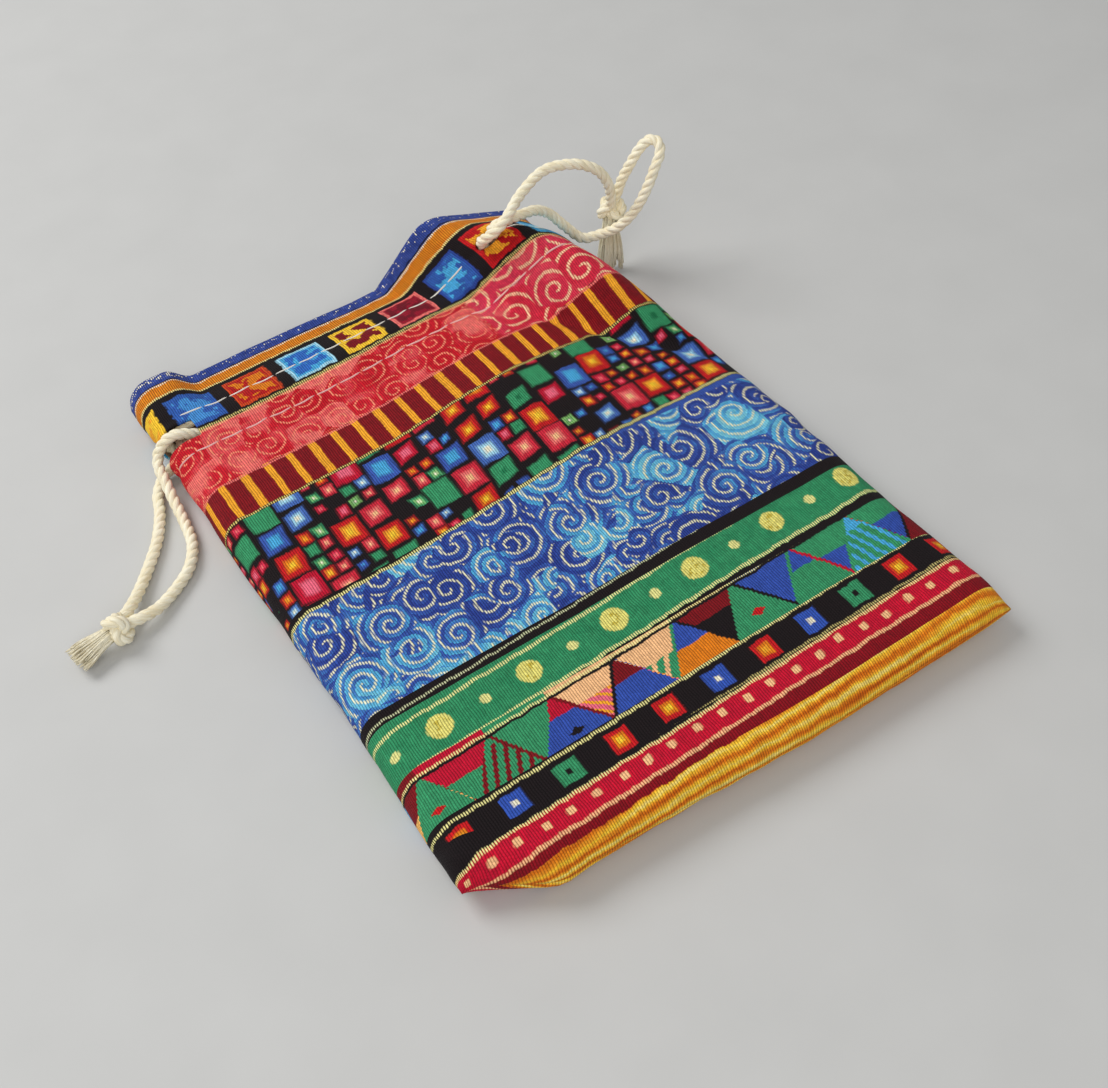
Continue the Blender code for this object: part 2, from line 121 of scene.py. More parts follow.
# Free ends of the left drawstring, from the knot to the slit: over the front, and under it, in mm
LEFT_OVER = (
    (-73.0, 20.3, 3.2), (-70.6, 20.4, 2.8), (-67.0, 21.3, 1.9), (-62.2, 24.0, 1.3), (-57.9, 27.4, 1.3),
    (-55.2, 32.2, 1.3), (-54.2, 38.0, 1.5), (-53.8, 42.5, 2.6), (-53.3, 47.2, 4.2),
    (-53.0, 50.0, 4.9), (-52.0, 51.9, 6.0), (-50.4, 52.0, 8.0), (-48.6, 51.7, 9.2), (-46.8, 51.5, 9.0),
    (-45.0, 51.4, 8.0),
)
LEFT_UNDER = (
    (-48.9, 51.5, 2.3), (-52.6, 50.6, 1.4), (-55.4, 47.2, 1.2), (-57.0, 42.8, 1.2),
    (-60.2, 36.8, 1.2), (-64.3, 31.5, 1.3), (-68.4, 26.6, 1.8), (-71.4, 23.3, 2.7), (-73.3, 21.6, 3.2),
)
# Free ends of the right drawstring, from the hole to the knot: the arc, and the loop over the crest
RIGHT_ARC = (
    (23.1, 51.2, 22.1), (25.1, 49.9, 24.1), (28.2, 50.5, 25.8), (32.6, 52.9, 27.1),
    (39.4, 54.2, 29.3), (45.7, 52.5, 29.0), (50.0, 51.0, 26.5), (52.9, 51.0, 21.3), (53.9, 51.9, 16.4),
    (54.4, 52.6, 14.6),
)
RIGHT_LOOP = (
    (25.7, 52.1, 23.2), (27.5, 51.8, 23.7), (29.8, 51.9, 23.4), (32.6, 52.4, 22.8), (36.2, 53.2, 21.6),
    (40.0, 54.2, 18.4), (43.2, 53.6, 14.2), (46.6, 52.0, 10.4), (50.2, 50.8, 10.4),
    (53.0, 48.4, 12.4), (56.0, 46.8, 15.8), (58.6, 46.0, 20.5), (61.0, 46.2, 25.0),
    (62.9, 47.0, 27.6), (63.4, 48.4, 28.9), (62.7, 50.0, 29.0), (61.1, 50.9, 27.6), (58.8, 51.6, 24.0),
    (57.2, 52.5, 20.2), (56.3, 53.2, 16.4), (55.5, 53.5, 14.6),
)
# Places across the pouch where a cord in the channel has a point, in mm, and its points round each seam
LANE_PLACES = (-43.5, -35, -27, -18, -9, -1, 4, 8, 11.5, 14.5, 17, 19.5, 22, 24.5, 27.7, 30.8, 34, 38.4)
LEFT_TURN_POINTS = 4
RIGHT_TURN_POINTS = 5

# Knots as they lie: centre, the way to the frayed ends, the knot's wide side, and its turn about its axis
LEFT_KNOT = Vector((-74.5, 20.2, 3.4)) * MM
LEFT_AXIS = Vector((-1, -0.14, -0.13))
LEFT_WIDE = Vector((0, 1, 0.1))
LEFT_SPIN = 0.4
RIGHT_KNOT = Vector((54.9, 53.4, 13.3)) * MM
RIGHT_AXIS = Vector((-0.22, -0.26, -1))
RIGHT_WIDE = Vector((1, -0.4, 0))
RIGHT_SPIN = 1.3
LEFT_TASSEL_LENGTH = 7.6 * MM
RIGHT_TASSEL_LENGTH = 12 * MM

HALF_WIDTH = POUCH_WIDTH / 2
MOUTH = POUCH_LENGTH / 2
BOTTOM = -POUCH_LENGTH / 2 + BOTTOM_SHORTENING
HEADER_DEPTH = 2 * CLOTH + HEM_GAP
CHANNEL_DEPTH = 2 * CLOTH + CORD + 2 * CORD_CLEARANCE
LANE_DEPTH = CLOTH + CORD_CLEARANCE + CORD / 2
FOLD_RADIUS = HEADER_DEPTH / 2
LAST_OUTER = MOUTH - FOLD_RADIUS
NORMAL_STEP = 0.2 * MM


def smooth(value):
    """An S-shaped step from 0 to 1."""
    value = min(max(value, 0), 1)
    return value * value * (3 - 2 * value)


# Shape of the cloth

def between(pair, share):
    """A value between the two of a pair."""
    return pair[0] + (pair[1] - pair[0]) * share


def lift_angle(distance, share):
    """Slope of the raised corner beyond the valley, at a share of the way from the mouth to its lower end."""
    up = RAMP_ANGLE * smooth(distance / RAMP_BEND)
    turn = RAMP_ANGLE + between(FLAP_ANGLES, share)
    beyond = distance - between(RAMP_LENGTHS, share) + RAMP_BEND / 2
    return up - turn * smooth(beyond / (CREST_EASE * turn * CREST_RADIUS))


def lift_profile(share):
    """Rise and horizontal pull of the raised corner, one pair for each LIFT_STEP beyond the valley."""
    rise = 0
    pull = 0
    profile = [(rise, pull)]
    for index in range(int(HALF_WIDTH / LIFT_STEP)):
        angle = lift_angle((index + 0.5) * LIFT_STEP, share)
        rise += sin(angle) * LIFT_STEP
        pull += (1 - cos(angle)) * LIFT_STEP
        profile.append((rise, pull))
    return profile


LIFT_PROFILES = [lift_profile(number / LIFT_SLICES) for number in range(LIFT_SLICES + 1)]


def lift_direction(along):
    """The way from the valley to the raised corner, square to the valley's bowed line."""
    bow = VALLEY_BOW / VALLEY_BOW_LENGTH * exp((along - MOUTH) / VALLEY_BOW_LENGTH)
    return Vector((1, VALLEY_SLOPE - bow, 0)).normalized()


def beyond_valley(across, along):
    """Distance from the valley line, towards the raised corner."""
    bow = VALLEY_BOW * (1 - exp((along - MOUTH) / VALLEY_BOW_LENGTH))
    valley = VALLEY_AT_MOUTH + VALLEY_SLOPE * (MOUTH - along) - bow
    return (across - valley) * lift_direction(along).x


def corner_lift(across, along):
    """How far the cloth at a flat place is raised, and pulled back to the valley."""
    distance = max(beyond_valley(across, along), 0) / LIFT_STEP
    step = min(int(distance), len(LIFT_PROFILES[0]) - 2)
    down_valley = DOWN_VALLEY[0] * (across - VALLEY_AT_MOUTH) + DOWN_VALLEY[1] * (MOUTH - along)
    start, end = LIFT_RUN
    way = min(max((down_valley - start) / (end - start), 0), 1) * LIFT_SLICES
    first = min(int(way), LIFT_SLICES - 1)
    lifts = []
    for number in range(2):
        near, far = [between((profile[step][number], profile[step + 1][number]), min(distance - step, 1))
                     for profile in LIFT_PROFILES[first:first + 2]]
        lifts.append(between((near, far), way - first))
    return lifts


def bottom_rounding(along):
    """1 at the bottom edge, 0 where its rounding ends."""
    return 1 - min(max((along - BOTTOM) / BOTTOM_ROLL, 0), 1)


def bottom_share(along):
    """Share of the full height at a place near the rounded bottom fold."""
    return sqrt(max(1 - bottom_rounding(along) ** 2, 0))


def front_height(across, along):
    """Height of the front's outer face, before its side edges are rolled."""
    start, run = MOUTH_SLOPE
    near_mouth = smooth((along - (MOUTH - start)) / run)
    away = sum(((place - centre) / HILL_REACH) ** 2 for place, centre in zip((across, along), HILL_PLACE))
    body = POUCH_HEIGHT + HILL * exp(-away)
    puff = MOUTH_PUFF * smooth((-across - PUFF_START) / PUFF_RUN) * near_mouth
    return body + (MOUTH_HEIGHT - body) * near_mouth + puff + corner_lift(across, along)[0]


def right_roll(along):
    """Width of the rolled right edge, which grows where the corner is raised."""
    inner = HALF_WIDTH - SIDE_ROLL
    return max(RIGHT_ROLL_SHARE * front_height(inner, along), SIDE_ROLL)


def place_across(column, along):
    """Flat place across the pouch, and height from -1 on the back to 1 on the front, of a column."""
    kind, value = column
    if kind == "left":
        return -(HALF_WIDTH - SIDE_ROLL) - SIDE_ROLL * cos(value), sin(value)
    if kind == "right":
        roll = right_roll(along)
        return HALF_WIDTH - roll + roll * cos(value), sin(value)
    return value


def corner_tuck(across, along):
    """How far the cloth is pushed up the pouch at the left bottom corner."""
    near_corner = smooth((-across - HALF_WIDTH + CORNER_TUCK_WIDTH) / CORNER_TUCK_WIDTH)
    near_bottom = smooth(1 - (along - BOTTOM) / CORNER_TUCK_LENGTH)
    return (CORNER_TUCK * near_corner + BOTTOM_LEAN * smooth(LEAN_MIDDLE - across / HALF_WIDTH)) * near_bottom


def outer_face(column, along):
    """Point of the cloth's printed outer face, for a column and a place along the pouch."""
    across, level = place_across(column, along)
    pull = corner_lift(across, along)[1]
    middle = front_height(across, along) / 2
    height = middle + middle * level * bottom_share(along)
    flare = 1 + BOTTOM_FLARE / HALF_WIDTH * smooth((FLARE_START - along) / FLARE_RUN)
    waist = 1 - RIGHT_WAIST / HALF_WIDTH * (across > 0) * exp(-((along - WAIST_PLACE) / WAIST_REACH) ** 2)
    flat = Vector((across * flare * waist, along + corner_tuck(across, along), height))
    return flat - lift_direction(along) * pull


def shifted(column, step):
    """The column a small step further round the pouch."""
    kind, value = column
    if kind == "left":
        return kind, value + step / SIDE_ROLL
    if kind == "right":
        return kind, value - step / SIDE_ROLL
    return kind, (value[0] + step * value[1], value[1])


def outward(column, along):
    """Unit normal of the outer face, pointing out of the pouch."""
    step = NORMAL_STEP
    round_the_pouch = outer_face(shifted(column, step), along) - outer_face(shifted(column, -step), along)
    to_the_mouth = outer_face(column, along + step) - outer_face(column, along - step)
    return round_the_pouch.cross(to_the_mouth).normalized()


def inside_face(column, along, depth):
    """Point at a depth under the outer face."""
    return outer_face(column, along) - outward(column, along) * depth


def hem_depth(along):
    """Depth of the turned-in cloth's face under the outer face."""
    above = smooth((along - (MOUTH - CHANNEL_TOP)) / CHANNEL_EASE)
    below = smooth(((MOUTH - CHANNEL_BOTTOM) - along) / CHANNEL_EASE)
    return CHANNEL_DEPTH + (HEADER_DEPTH - CHANNEL_DEPTH) * max(above, below)


# Camera

def make_camera():
    """The camera at the photograph's angle, rolled a little."""
    forward = Vector((sin(CAMERA_AZIMUTH), cos(CAMERA_AZIMUTH), 0)) * cos(CAMERA_ELEVATION)
    forward.z = -sin(CAMERA_ELEVATION)
    level = forward.cross(Vector((0, 0, 1))).normalized()
    down = forward.cross(level)
    right = cos(CAMERA_ROLL) * level + sin(CAMERA_ROLL) * down
    up = sin(CAMERA_ROLL) * level - cos(CAMERA_ROLL) * down
    turned = Matrix((right, up, -forward)).transposed().to_4x4()
    turned.translation = CAMERA_PLACE
    data = bpy.data.cameras.new("camera")
    data.sensor_fit = "HORIZONTAL"
    data.sensor_width = SENSOR
    data.lens = LENS
    data.clip_start = 1 * MM
    camera = bpy.data.objects.new("camera", data)
    camera.matrix_world = turned
    bpy.context.scene.collection.objects.link(camera)
    bpy.context.scene.camera = camera


# Cords

def scaled(points):
    """Points of a list in mm."""
    return [Vector(point) * MM for point in points]


def smooth_route(points, step):
    """Points every step or so on a smooth curve through the route's own points."""
    route = []
    padded = [2 * points[0] - points[1]] + points + [2 * points[-1] - points[-2]]
    for a, b, c, d in zip(padded, padded[1:], padded[2:], padded[3:]):
        times = [0]
        for start, end in ((a, b), (b, c), (c, d)):
            times.append(times[-1] + sqrt((end - start).length))
        pieces = max(int((c - b).length / step), 1)
        for index in range(pieces):
            t = times[1] + (times[2] - times[1]) * index / pieces
            first = a.lerp(b, (t - times[0]) / (times[1] - times[0]))
            second = b.lerp(c, (t - times[1]) / (times[2] - times[1]))
            third = c.lerp(d, (t - times[2]) / (times[3] - times[2]))
            early = first.lerp(second, (t - times[0]) / (times[2] - times[0]))
            late = second.lerp(third, (t - times[1]) / (times[3] - times[1]))
            route.append(early.lerp(late, (t - times[1]) / (times[2] - times[1])))
    return route + [points[-1]]


def lane_points(columns, lane):
    """Points of a cord in the channel, under each of the columns."""
    return [inside_face(column, MOUTH - lane, LANE_DEPTH) for column in columns]


def mirrored(column):
    """The column on the back, under one of the front."""
    kind, value = column
    if kind == "flat":
        return kind, (value[0], -value[1])
    return kind, -value


def lane_columns():
    """Columns of the front that a cord in the channel passes under, from the left seam to the right."""
    left = [("left", pi / 2 * number / LEFT_TURN_POINTS) for number in range(LEFT_TURN_POINTS + 1)]
    flats = [("flat", (place * MM, 1)) for place in LANE_PLACES]
    right = [("right", pi / 2 * (1 - number / RIGHT_TURN_POINTS)) for number in range(RIGHT_TURN_POINTS + 1)]
    return left + flats + right


def left_route():
    """Left drawstring: knot, slit, all round the channel, slit, knot."""
    columns = lane_columns()
    front = columns[LEFT_TURN_POINTS + 1:]
    back = [mirrored(column) for column in reversed(columns[LEFT_TURN_POINTS:-1])]
    return scaled(LEFT_OVER) + lane_points(front + back, LEFT_LANE) + scaled(LEFT_UNDER)


def hole_points(place, rise_towards):
    """Points that bring a cord out of the hole, at a place across, from its lane in the channel."""
    out = []
    hole_middle = (HOLE_TOP + SLIT_TOP) / 2
    for back, share, depth in HOLE_RISE:
        lane = RIGHT_LANE + (hole_middle - RIGHT_LANE) * share
        column = ("flat", (place - back * rise_towards, 1))
        out.append(inside_face(column, MOUTH - lane, depth))
    return out


def right_route():
    """Right drawstring: knot, hole, to the left along the front, round the back, hole, knot."""
    columns = lane_columns()
    first_place = HOLE_LEFT + (HOLE_WIDTH - HOLE_SPACING) / 2
    left_part = columns[:-RIGHT_TURN_POINTS - 1]
    right_part = columns[LEFT_TURN_POINTS + 1:]
    to_the_left = [c for c in reversed(left_part) if c[0] == "left" or c[1][0] < HOLE_LEFT]
    below = [mirrored(column) for column in columns[1:-1]]
    from_the_right = [c for c in reversed(right_part) if c[0] == "right" or c[1][0] >= HOLE_LEFT + HOLE_WIDTH]
    channel = lane_points(to_the_left + below + from_the_right, RIGHT_LANE)
    first = list(reversed(hole_points(first_place, 1)))
    second = hole_points(first_place + HOLE_SPACING, -1)
    return list(reversed(scaled(RIGHT_ARC))) + first + channel + second + scaled(RIGHT_LOOP)


def carried_frames(route):
    """Two directions across a route at each of its points, turned as little as they can be."""
    frames = []
    across = None
    for index, point in enumerate(route):
        ahead = (route[min(index + 1, len(route) - 1)] - route[max(index - 1, 0)]).normalized()
        if across is None:
            across = ahead.orthogonal().normalized()
        across = (across - ahead * across.dot(ahead)).normalized()
        frames.append((across, ahead.cross(across)))
    return frames


def runs_along(line):
    """Length of a line up to each of its points."""
    runs = [0]
    for before, after in zip(line, line[1:]):
        runs.append(runs[-1] + (after - before).length)
    return runs


def line_length(line):
    return runs_along(line)[-1]


def sweep(mesh, uv_layer, line, radii, sides):
    """A tube along a line, closed at both ends, with its turn and its length as UVs."""
    rings = []
    for point, radius, (across, over) in zip(line, radii, carried_frames(line)):
        ring = []
        for side in range(sides):
            turn = 2 * pi * side / sides
            ring.append(mesh.verts.new(point + (across * cos(turn) + over * sin(turn)) * radius))
        rings.append(ring)
    runs = runs_along(line)
    for index, (low, high) in enumerate(zip(rings, rings[1:])):
        for side in range(sides):
            after = (side + 1) % sides
            face = mesh.faces.new((low[side], low[after], high[after], high[side]))
            face.smooth = True
            corners = ((side, index), (side + 1, index), (side + 1, index + 1), (side, index + 1))
            for loop, (corner, ring) in zip(face.loops, corners):
                loop[uv_layer].uv = (corner / sides, runs[ring] / MM)
    mesh.faces.new(list(reversed(rings[0])))
    mesh.faces.new(rings[-1])


def new_cotton():
    """An empty mesh for a piece of cotton, with its UV map."""
    mesh = bmesh.new()
    return mesh, mesh.loops.layers.uv.new("along")


def finished(mesh, name, materials):
    """A new object from a mesh, at the origin, with its materials."""
    data = bpy.data.meshes.new(name)
    mesh.to_mesh(data)
    mesh.free()
    for material in materials:
        data.materials.append(material)
    made = bpy.data.objects.new(name, data)
    bpy.context.scene.collection.objects.link(made)
    return made


PLIES = 3
PLY_TURN = 5.6 * MM
PLY_OFFSET = 0.50 * MM
PLY_RADIUS = 0.64 * MM
PLY_SIDES = 9
CORD_STEP = 0.42 * MM


def make_twisted(name, line, material):
    """Twisted cord: three plies laid round a line."""
    mesh, uv_layer = new_cotton()
    frames = carried_frames(line)
    runs = runs_along(line)
    for ply in range(PLIES):
        strand = []
        for point, run, (across, over) in zip(line, runs, frames):
            turn = 2 * pi * (ply / PLIES + run / PLY_TURN)
            strand.append(point + (across * cos(turn) + over * sin(turn)) * PLY_OFFSET)
        sweep(mesh, uv_layer, strand, [PLY_RADIUS] * len(strand), PLY_SIDES)
    return finished(mesh, name, [material])


# Knots and frayed ends

KNOT_SIZE = 0.78 * MM
KNOT_HEIGHT = 1.35
KNOT_POINTS = 120
TASSEL_START = 2.8 * MM
TASSEL_FIBRES = 150
FIBRE_ROOTS = (1.6 * MM, 1.3 * MM)
FIBRE_TIPS = (2.9 * MM, 1.2 * MM)
FIBRE_WAVE = 0.25 * MM
FIBRE_SUNK = 1.2 * MM
FIBRE_THICKNESS = (0.13, 0.24)
FIBRE_TAPER = 0.45
FIBRE_STEPS = 8
FIBRE_SIDES = 5


def crossing(forward, wide):
    """Two directions square to a third: one as near as can be to wide, and one square to both."""
    side = (wide - forward * wide.dot(forward)).normalized()
    return side, forward.cross(side)


def knot_line(centre, axis, wide, spin):
    """Line of an overhand knot pulled tight: a trefoil, squeezed along its axis."""
    forward = axis.normalized()
    side, over = crossing(forward, wide)
    line = []
    for index in range(KNOT_POINTS + 1):
        turn = 2 * pi * index / KNOT_POINTS + spin
        x = sin(turn) + 2 * sin(2 * turn)
        y = cos(turn) - 2 * cos(2 * turn)
        z = -sin(3 * turn) * KNOT_HEIGHT
        line.append(centre + (side * x + over * y) * KNOT_SIZE + forward * z * KNOT_SIZE)
    return line


def make_tassel(name, start, axis, wide, full_length, material, seed):
    """Frayed cotton: many thin strands that leave the knot together and spread."""
    order = random.Random(seed)
    forward = axis.normalized()
    side, over = crossing(forward, wide)
    mesh, uv_layer = new_cotton()
    for index in range(TASSEL_FIBRES):
        turn = 2 * pi * order.random()
        share = sqrt(order.random())
        root, tip = [(side * cos(turn) * reach[0] + over * sin(turn) * reach[1]) * share
                     for reach in (FIBRE_ROOTS, FIBRE_TIPS)]
        length = full_length * (0.72 + 0.3 * order.random())
        swing, phase, other_swing, other_phase = [order.uniform(-1, 1) * FIBRE_WAVE for _ in range(4)]
        line = []
        for step in range(FIBRE_STEPS + 1):
            run = step / FIBRE_STEPS
            bend = side * swing * sin(5 * run + phase / MM * 9)
            bend += over * other_swing * sin(4 * run + other_phase / MM * 9)
            point = start + root.lerp(tip, smooth(run)) + bend * run + forward * (length * run - FIBRE_SUNK)
            point.z = max(point.z, 0.22 * MM)
            line.append(point)
        thick = order.uniform(*FIBRE_THICKNESS) * MM
        radii = [thick * (1 - FIBRE_TAPER * (step / FIBRE_STEPS) ** 2) for step in range(FIBRE_STEPS + 1)]
        sweep(mesh, uv_layer, line, radii, FIBRE_SIDES)
    return finished(mesh, name, [material])


# Visible cloth

CLOTH_STEP = 0.85 * MM
BACK_STEP = 1.7 * MM
ROLL_STEPS = 8
RIGHT_ROLL_STEPS = 12
FOLD_ANGLES = (25, 55, 90, 125, 155)
ROLL_ARC = SIDE_ROLL * pi / 2
SEAM = HALF_WIDTH - SIDE_ROLL + ROLL_ARC
RIGHT_START = 36 * MM
FOLD_ARC = 8.4 * MM
PRINT_TUCK = 1.05
PRINT_SKEW = 0.035
HOLE_CENTRE = (HOLE_LEFT + HOLE_WIDTH / 2, MOUTH - (HOLE_TOP + SLIT_TOP) / 2)
HOLE_SIZE = (3.5 * MM, 1.75 * MM)
SLIT_END = -HALF_WIDTH + SLIT_FRONT_REACH
SKEW_START = -62 * MM
SKEW_RISE = 35 * MM
SKEW_END = 24 * MM
SKEW_FALL = 22 * MM
SAME_PLACE = 0.01 * MM

# Soft folds: height, reach across and reach along, all in mm, and the place in the noise
BROAD_FOLDS = (0.55, 26, 30, 3)
SMALL_FOLDS = (0.16, 7, 9, 11)
SEAM_FOLDS = (0.45, 9, 7.5, 21)
BOTTOM_FOLDS = (0.42, 5, 9, 31)
PUCKERS = (1, 3, 4, 5)
BACK_PLACE = 40

# Stitches of both rows
STITCH = 5.1 * MM
STITCH_GAP = 0.5 * MM
STITCH_STEPS = 8
STITCH_END = 2 * MM
UPPER_STITCHES_START = -45 * MM
STITCH_SWAY = 0.12 * MM
THREAD = 0.2 * MM
THREAD_SIDES = 6
ROW_DENT = 0.34
ROW_PUCKER = 0.13
CREASE_DEPTH = 0.9


def stepped(low, high, step):
    """Places from low to high, evenly spaced, no further apart than step, without high."""
    pieces = max(ceil((high - low) / step - 0.01), 1)
    return [low + (high - low) * index / pieces for index in range(pieces)]


def column_at(across, along):
    """Column of the front at a distance across the cloth from its middle, measured over the rolled sides."""
    flat = HALF_WIDTH - SIDE_ROLL
    if across < -flat:
        return "left", pi / 2 * (1 - (-across - flat) / ROLL_ARC)
    if across < RIGHT_START:
        return "flat", (across, 1)
    roll = right_roll(along)
    level = HALF_WIDTH - roll - RIGHT_START
    run = (across - RIGHT_START) / (SEAM - RIGHT_START) * (level + roll * pi / 2)
    if run < level:
        return "flat", (RIGHT_START + run, 1)
    return "right", pi / 2 - (run - level) / roll


def ridge(value, width):
    """A narrow smooth ridge, 1 at 0."""
    return 1 / (1 + (value / width) ** 2) ** 2


def folds(kind, x, y, place):
    """Height of one kind of soft folds, in mm."""
    height, reach_x, reach_y, start = kind
    return height * noise.noise(Vector((x / reach_x, y / reach_y, start + place)))


def relief(across, along, on_front):
    """How far the cloth stands proud of its plain shape: soft folds, stitch puckers and seams, in mm."""
    u = across / MM
    v = along / MM
    side = SEAM / MM - abs(u)
    end = v - BOTTOM / MM
    place = 0 if on_front else BACK_PLACE
    height = folds(BROAD_FOLDS, u, v, place) + folds(SMALL_FOLDS, u, v, place)
    height += folds(SEAM_FOLDS, side, v, place) * ridge(side - 4, 6)
    height += folds(BOTTOM_FOLDS, u, end, place) * ridge(end, 6)
    for row, phase in ((UPPER_STITCHES, 0.4), (LOWER_STITCHES, 2.1)):
        away = (along - MOUTH + row) / MM
        pucker = sin(2 * pi * across / STITCH + phase) + folds(PUCKERS, u, away, place)
        height += ROW_PUCKER * pucker * ridge(away, 3.4) - ROW_DENT * ridge(away, 1.0)
    return height + 0.3 * ridge((along - MOUTH + LEFT_LANE) / MM, 3)


def valley_crease(across, along):
    """Depth of the sharp crease where the raised corner meets the flat front, in mm."""
    away = beyond_valley(across, along) / MM
    run = smooth((across / MM - 16) / 14) * smooth((52 - across / MM) / 8)
    return -CREASE_DEPTH * run * ridge(away + 0.6, 1.6)


def side_column(across, along, on_front):
    """Column of the front or the back at a distance across the cloth."""
    column = column_at(across, along)
    return column if on_front else mirrored(column)


def cloth_point(across, along, on_front=True, lift=0.0):
    """Point of the visible cloth's outer face, raised by lift along its normal."""
    column = side_column(across, along, on_front)
    proud = relief(across, along, on_front) * MM
    if on_front:
        proud += valley_crease(across, along) * MM
    normal = outward(column, max(along, BOTTOM + 0.3 * MM))
    fade = bottom_share(along) ** 0.5
    point = outer_face(column, along) + normal * (proud * fade + lift)
    point.z = max(point.z, 0 if lift == 0 else lift / 2)
    return point


def cloth_across():
    """Places across the cloth once round it: the front from the left seam, and the back again."""
    flat = HALF_WIDTH - SIDE_ROLL
    left_step = ROLL_ARC / ROLL_STEPS
    right_step = ROLL_ARC / RIGHT_ROLL_STEPS
    front = stepped(-SEAM, -flat, left_step) + stepped(-flat, SLIT_END, CLOTH_STEP)
    front += stepped(SLIT_END, flat, CLOTH_STEP) + stepped(flat, SEAM, right_step)
    back = stepped(-SEAM, -flat, right_step) + stepped(-flat, flat, BACK_STEP)
    back += stepped(flat, SEAM, left_step)
    return [(place, True) for place in front] + [(-place, False) for place in back]


def cloth_along():
    """Places along the outer face, from the bottom fold to the mouth."""
    fold = [BOTTOM + BOTTOM_ROLL * (1 - cos(pi / 2 * index / 10)) for index in range(10)]
    borders = [BOTTOM + BOTTOM_ROLL] + [MOUTH - border for _, border in BANDS[2:]]
    borders += [MOUTH - SLIT_TOP - SLIT_HEIGHT, MOUTH - SLIT_TOP, MOUTH - HEM_DEPTH, LAST_OUTER]
    borders.sort()
    body = []
    for low, high in zip(borders, borders[1:]):
        body += stepped(low, high, CLOTH_STEP)
    return fold + body + [LAST_OUTER]


def band_number(along):
    """Number of the printed band at a place along the cloth."""
    return max(index for index, (_, border) in enumerate(BANDS) if along >= MOUTH - border or index == 0)


def in_slit(across, on_front, along):
    """Is a place in the slit of the left seam?"""
    reach = SLIT_END if on_front else -(HALF_WIDTH - SIDE_ROLL)
    return across < reach and MOUTH - SLIT_TOP - SLIT_HEIGHT < along < MOUTH - SLIT_TOP


def hole_reach(across, along):
    """1 on the rim of the hole in the front, less inside it."""
    return sqrt(sum(((place - centre) / size) ** 2
                    for place, centre, size in zip((across, along), HOLE_CENTRE, HOLE_SIZE)))


def on_hole_rim(across, along):
    """The nearest place on the rim of the hole."""
    share = 1 / max(hole_reach(across, along), 0.01)
    return [centre + (place - centre) * share for place, centre in zip((across, along), HOLE_CENTRE)]


def print_length(across, along):
    """Place in the print: the length along the cloth, which goes round the bottom fold, a little askew."""
    length = max(along, BOTTOM + BOTTOM_ROLL) - FOLD_ARC * asin(bottom_rounding(along)) / (pi / 2)
    middle = smooth((along - SKEW_START) / SKEW_RISE) * smooth((SKEW_END - along) / SKEW_FALL)
    return length + PRINT_TUCK * corner_tuck(across, along) - PRINT_SKEW * across * middle


def print_across(place, face_on_front, corner_on_front):
    """The print's coordinate across, which runs on from the front round both seams."""
    if face_on_front != corner_on_front:
        return SEAM if face_on_front else 3 * SEAM
    return place if face_on_front or place == SEAM else 2 * SEAM - place


def in_hole(around, number, low, high):
    """Does a patch of the grid lie in the hole?"""
    (across, on_front), (after, after_front) = around[number], around[(number + 1) % len(around)]
    return on_front and after_front and hole_reach((across + after) / 2, (low + high) / 2) < 1


def hole_rim(around, rows):
    """Corners of the grid's patches that lie in the hole."""
    rim = set()
    for low, high in zip(rows, rows[1:]):
        for number in range(len(around) - 1):
            if in_hole(around, number, low, high):
                rim.update((around[end][0], along) for end in (number, number + 1) for along in (low, high))
    return rim


def mouth_point(across, on_front, turn):
    """Point of the fold at the mouth, where the cloth turns in."""
    edge = cloth_point(across, LAST_OUTER, on_front)
    forward = (edge - cloth_point(across, LAST_OUTER - MM, on_front)).normalized()
    normal = outward(side_column(across, LAST_OUTER, on_front), LAST_OUTER)
    return edge + forward * FOLD_RADIUS * sin(turn) - normal * FOLD_RADIUS * (1 - cos(turn))


def cloth_grid(around, rows):
    """Points of the sheet, row by row: up the outside, round the mouth and down the turned-in cloth."""
    rim = hole_rim(around, rows)
    grid = []
    for along in rows:
        places = [on_hole_rim(across, along) if on_front and (across, along) in rim else (across, along)
                  for across, on_front in around]
        grid.append((along, [cloth_point(*place, on_front) for place, (_, on_front) in zip(places, around)]))
    for angle in FOLD_ANGLES:
        grid.append((MOUTH, [mouth_point(across, on_front, radians(angle)) for across, on_front in around]))
    for along in reversed(rows):
        if along >= MOUTH - HEM_DEPTH - SAME_PLACE:
            depth = -hem_depth(along)
            grid.append((along, [cloth_point(across, along, on_front, depth) for across, on_front in around]))
    return grid


